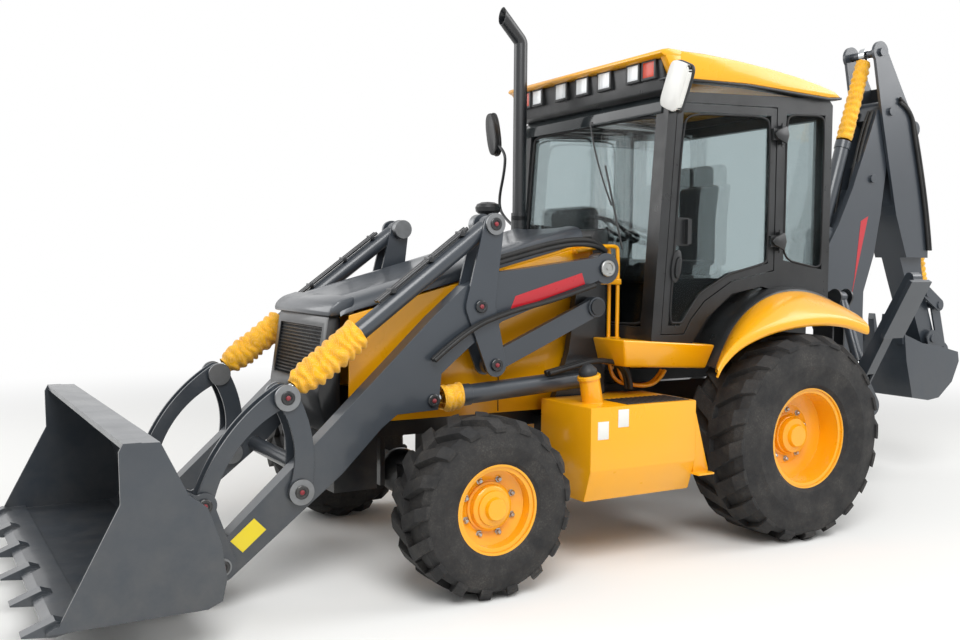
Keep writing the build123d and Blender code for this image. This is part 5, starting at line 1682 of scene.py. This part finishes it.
@dataclass
class Hoses:
    """Hoses clamped along the arms, in front of the cab and up the boom, and pipes on the cylinders.

    Attributes:
        radius: Radius of a hose.
        pipe: Radius of a steel pipe.
    """

    radius: float = 0.013
    pipe: float = 0.010

    def barrel_pipes(self, machine: Machine) -> None:
        """Makes the steel pipes clipped on top of the tilt cylinders."""
        top, low_end = machine.places(TILT_BASE, TILT_EYE)
        run = (low_end - top).normalized()
        up = Vector((-run.z, 0, run.x))
        pieces = []
        for lane in (CYLINDER_LANE, -CYLINDER_LANE):
            for off in (-0.018, 0.018):
                shift = Vector((0, lane + off, 0)) + up * 0.066
                pieces.append(swept("barrel_pipe",
                                    [top + run * share + shift for share in (0.13, 0.30, 0.55, 0.80)],
                                    self.pipe))
            for share in (0.18, 0.42, 0.70):
                place = top + run * share + Vector((0, lane, 0)) + up * 0.062
                pieces.append(block("pipe_clip", place - Vector((0.014, 0.034, 0.012)),
                                    place + Vector((0.014, 0.034, 0.016)), 0.004))
        dress(joined("barrel_pipes", pieces), BLACK, "tilt_barrels")

    def lines(self, machine: Machine, name: str, body: str, radius: float,
              routes: Sequence[list[Point]]) -> None:
        """Makes the hoses of one bundle, each through its own route."""
        pieces = [machine.tube(name, radius, *route) for route in routes]
        dress(joined(f"{name}s", pieces), HOSE, body)

    def build(self, machine: Machine) -> None:
        """Makes every clamped line."""
        arm = [machine.tube("arm_hose", self.radius, (1.36, side, 1.60), (1.62, side, 1.52),
                            (1.95, side, 1.455), (2.22, side, 1.36), (2.42, side, 1.20))
               for side in (0.672, 0.702)]
        arm += [mirrored(piece, "arm_hose_right") for piece in list(arm)]
        dress(joined("arm_hoses", arm), HOSE, "lift_arms")
        self.barrel_pipes(machine)
        self.lines(machine, "cowl_hose", "lift_arms", self.radius * 1.15,
                   [[(1.98, 0.612, 1.725 + off), (1.86, 0.605, 1.755 + off), (1.62, 0.60, 1.815 + off),
                     (1.42, 0.59, 1.845 + off), (1.25, 0.58, 1.835 + off), (1.19, 0.575, 1.80)]
                    for off in (0.0, 0.028)])
        self.lines(machine, "lift_hose", "chassis", self.radius * 1.2,
                   [[(1.66, side, 1.092), (1.52, side, 1.118), (1.34, side, 1.155), (1.17, side, 1.14),
                     (1.07, side, 1.07), (1.06, side, 0.97)] for side in (0.636, 0.676)])
        self.lines(machine, "dipper_hose", "dipper", self.radius,
                   [[(-2.02, 0.165, 3.06 - off), (-2.16, 0.165, 2.98), (-2.24 + off, 0.165, 2.78),
                     (-2.35 + off, 0.165, 2.40), (-2.43 + off, 0.165, 2.05), (-2.46 + off, 0.165, 1.86)]
                    for off in (0.0, 0.03)])
        self.lines(machine, "boom_hose", "boom", self.radius,
                   [[(-1.50, side, 1.10), (-1.47, side, 1.60), (-1.56, side, 2.20), (-1.72, side, 2.80),
                     (-1.80, side, 2.95)] for side in (-0.05, 0.05, -0.085, 0.085)])


@dataclass
class OperatorPlace:
    """Padded seat, steering column and wheel, dash and the side console.

    Attributes:
        tilt: Direction of the steering wheel's axis.
        cell: Size of the cushions' mesh cells.
        crown: How far a cushion's middle swells.
        channel: Depth of its sewn channels.
        channel_half: Half their width.
        channel_side: Where they run, as a share of its half width.
    """

    tilt: Point = (-0.42, 0, 0.9)
    cell: float = 0.012
    crown: float = 0.006
    channel: float = 0.009
    channel_half: float = 0.010
    channel_side: float = 0.62

    def build(self, machine: Machine) -> None:
        """Makes everything inside the cab."""
        box, tube, spun = machine.box, machine.tube, machine.spun
        pieces = [box("cab_floor", (-0.28, -0.60, 1.262), (0.90, 0.60, 1.28), 0.006),
                  box("seat_base", (0.10, -0.20, 1.272), (0.46, 0.20, 1.62), 0.03),
                  box("seat_pan", (0.02, -0.25, 1.60), (0.54, 0.25, 1.66), 0.02),
                  machine.slab("seat_back_shell", [(20, 1620), (70, 1620), (10, 2280), (-60, 2280)], -0.23,
                               0.23, 0.02),
                  tube("steering_column", 0.045, (0.84, 0, 1.272), (0.80, 0, 1.6), (0.70, 0, 1.94)),
                  box("side_console", (0.0, -0.56, 1.28), (0.60, -0.36, 1.74), 0.03),
                  tube("console_lever", 0.009, (0.46, -0.46, 1.72), (0.47, -0.46, 1.84),
                       (0.44, -0.45, 1.92)),
                  spun("console_knob",
                       [(0, 0), (0, 0.012), (0.02, 0.021), (0.045, 0.019), (0.055, 0.008), (0.057, 0)],
                       (0.44, -0.45, 1.90), (-0.2, 0, 1), 20),
                  spun("steering_wheel",
                       [(-0.016, 0.184), (-0.011, 0.195), (0.0, 0.200), (0.011, 0.195), (0.016, 0.184),
                        (0.011, 0.173), (0.0, 0.168), (-0.011, 0.173)], (0.70, 0, 1.96), self.tilt, 48),
                  spun("steering_hub", ring(0, 0.045, -0.03, 0.012, 0.01), (0.70, 0, 1.955), self.tilt, 28)]
        tilt, middle = Vector(self.tilt).normalized(), machine.at(0.70, 0, 1.958)
        for turn in (90, 210, 330):
            out = Matrix.Rotation(math.radians(turn), 3, tilt) @ tilt.cross(Vector((0, 1, 0))).normalized()
            pieces.append(swept("steering_spoke", [middle + out * share for share in (0.03, 0.10, 0.18)],
                                0.011))
        dash = box("dash_cowl", (0.70, -0.62, 1.28), (0.86, -0.12, 2.12), 0.05, 4)
        head = box("head_rest", (-0.09, -0.15, 2.26), (0.0, 0.15, 2.42), 0.035, 4)
        hard = joined("operator_place", [dash, head, *pieces])
        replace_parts(dress(hard, PLASTIC, slot="interior_black"), "cab_interior")
        self.pad("seat_cushion", machine.at(0.03, -0.245, 1.645), machine.at(0.55, 0.245, 1.755), 0.03)
        self.pad("seat_backrest", machine.at(-0.035, -0.235, 1.72), machine.at(0.085, 0.235, 2.26), 0.03)

    def pad(self, name: str, low: Vector, high: Vector, round_by: float) -> None:
        """Makes one padded cushion: a fine-meshed block with a crown, sewn channels and creases.

        Args:
            name: Name of the cushion.
            low: Its low corner.
            high: Its high corner.
            round_by: Radius of its edges.
        """
        cushion = block(name, low, high, round_by, 3)
        only(cushion)
        remesh = cushion.modifiers.new("mesh", "REMESH")
        remesh.mode = "VOXEL"
        remesh.voxel_size = self.cell
        bpy.ops.object.modifier_apply(modifier=remesh.name)
        middle = (low + high) / 2
        wide = (high.y - low.y) / 2
        for vertex in cushion.data.vertices:
            place = vertex.co - middle
            seam = math.exp(-((abs(place.y) - wide * self.channel_side) / self.channel_half) ** 2)
            swell = math.cos(math.pi * min(1.0, abs(place.y) / wide) / 2)
            crease = 0.0025 * noise.noise(vertex.co * 22) + 0.0015 * noise.noise(vertex.co * 55)
            push = self.crown * swell - self.channel * seam
            vertex.co += vertex.normal * (push + crease)
        smoother = cushion.modifiers.new("smooth", "SMOOTH")
        smoother.iterations = 2
        bpy.ops.object.modifier_apply(modifier=smoother.name)
        bpy.ops.object.shade_smooth_by_angle(angle=math.radians(70))
        dress(cushion, SEAT_CLOTH, slot="interior_black")


SUB_ASSEMBLIES = (CabTop, Mirrors, DoorFittings, Fenders, Exhaust, Bonnet, Cowl, SideTanks, Sleeves, Trim,
                  Hoses, OperatorPlace)


def main() -> None:
    """Builds the machine's looks in order."""
    logging.basicConfig(level=logging.INFO, format="%(message)s")
    machine = Machine(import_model())
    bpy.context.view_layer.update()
    Studio().build(machine)
    machine.dress_nodes()
    for kind in SUB_ASSEMBLIES:
        kind().build(machine)
    deselect()


if __name__ == "__main__":
    main()
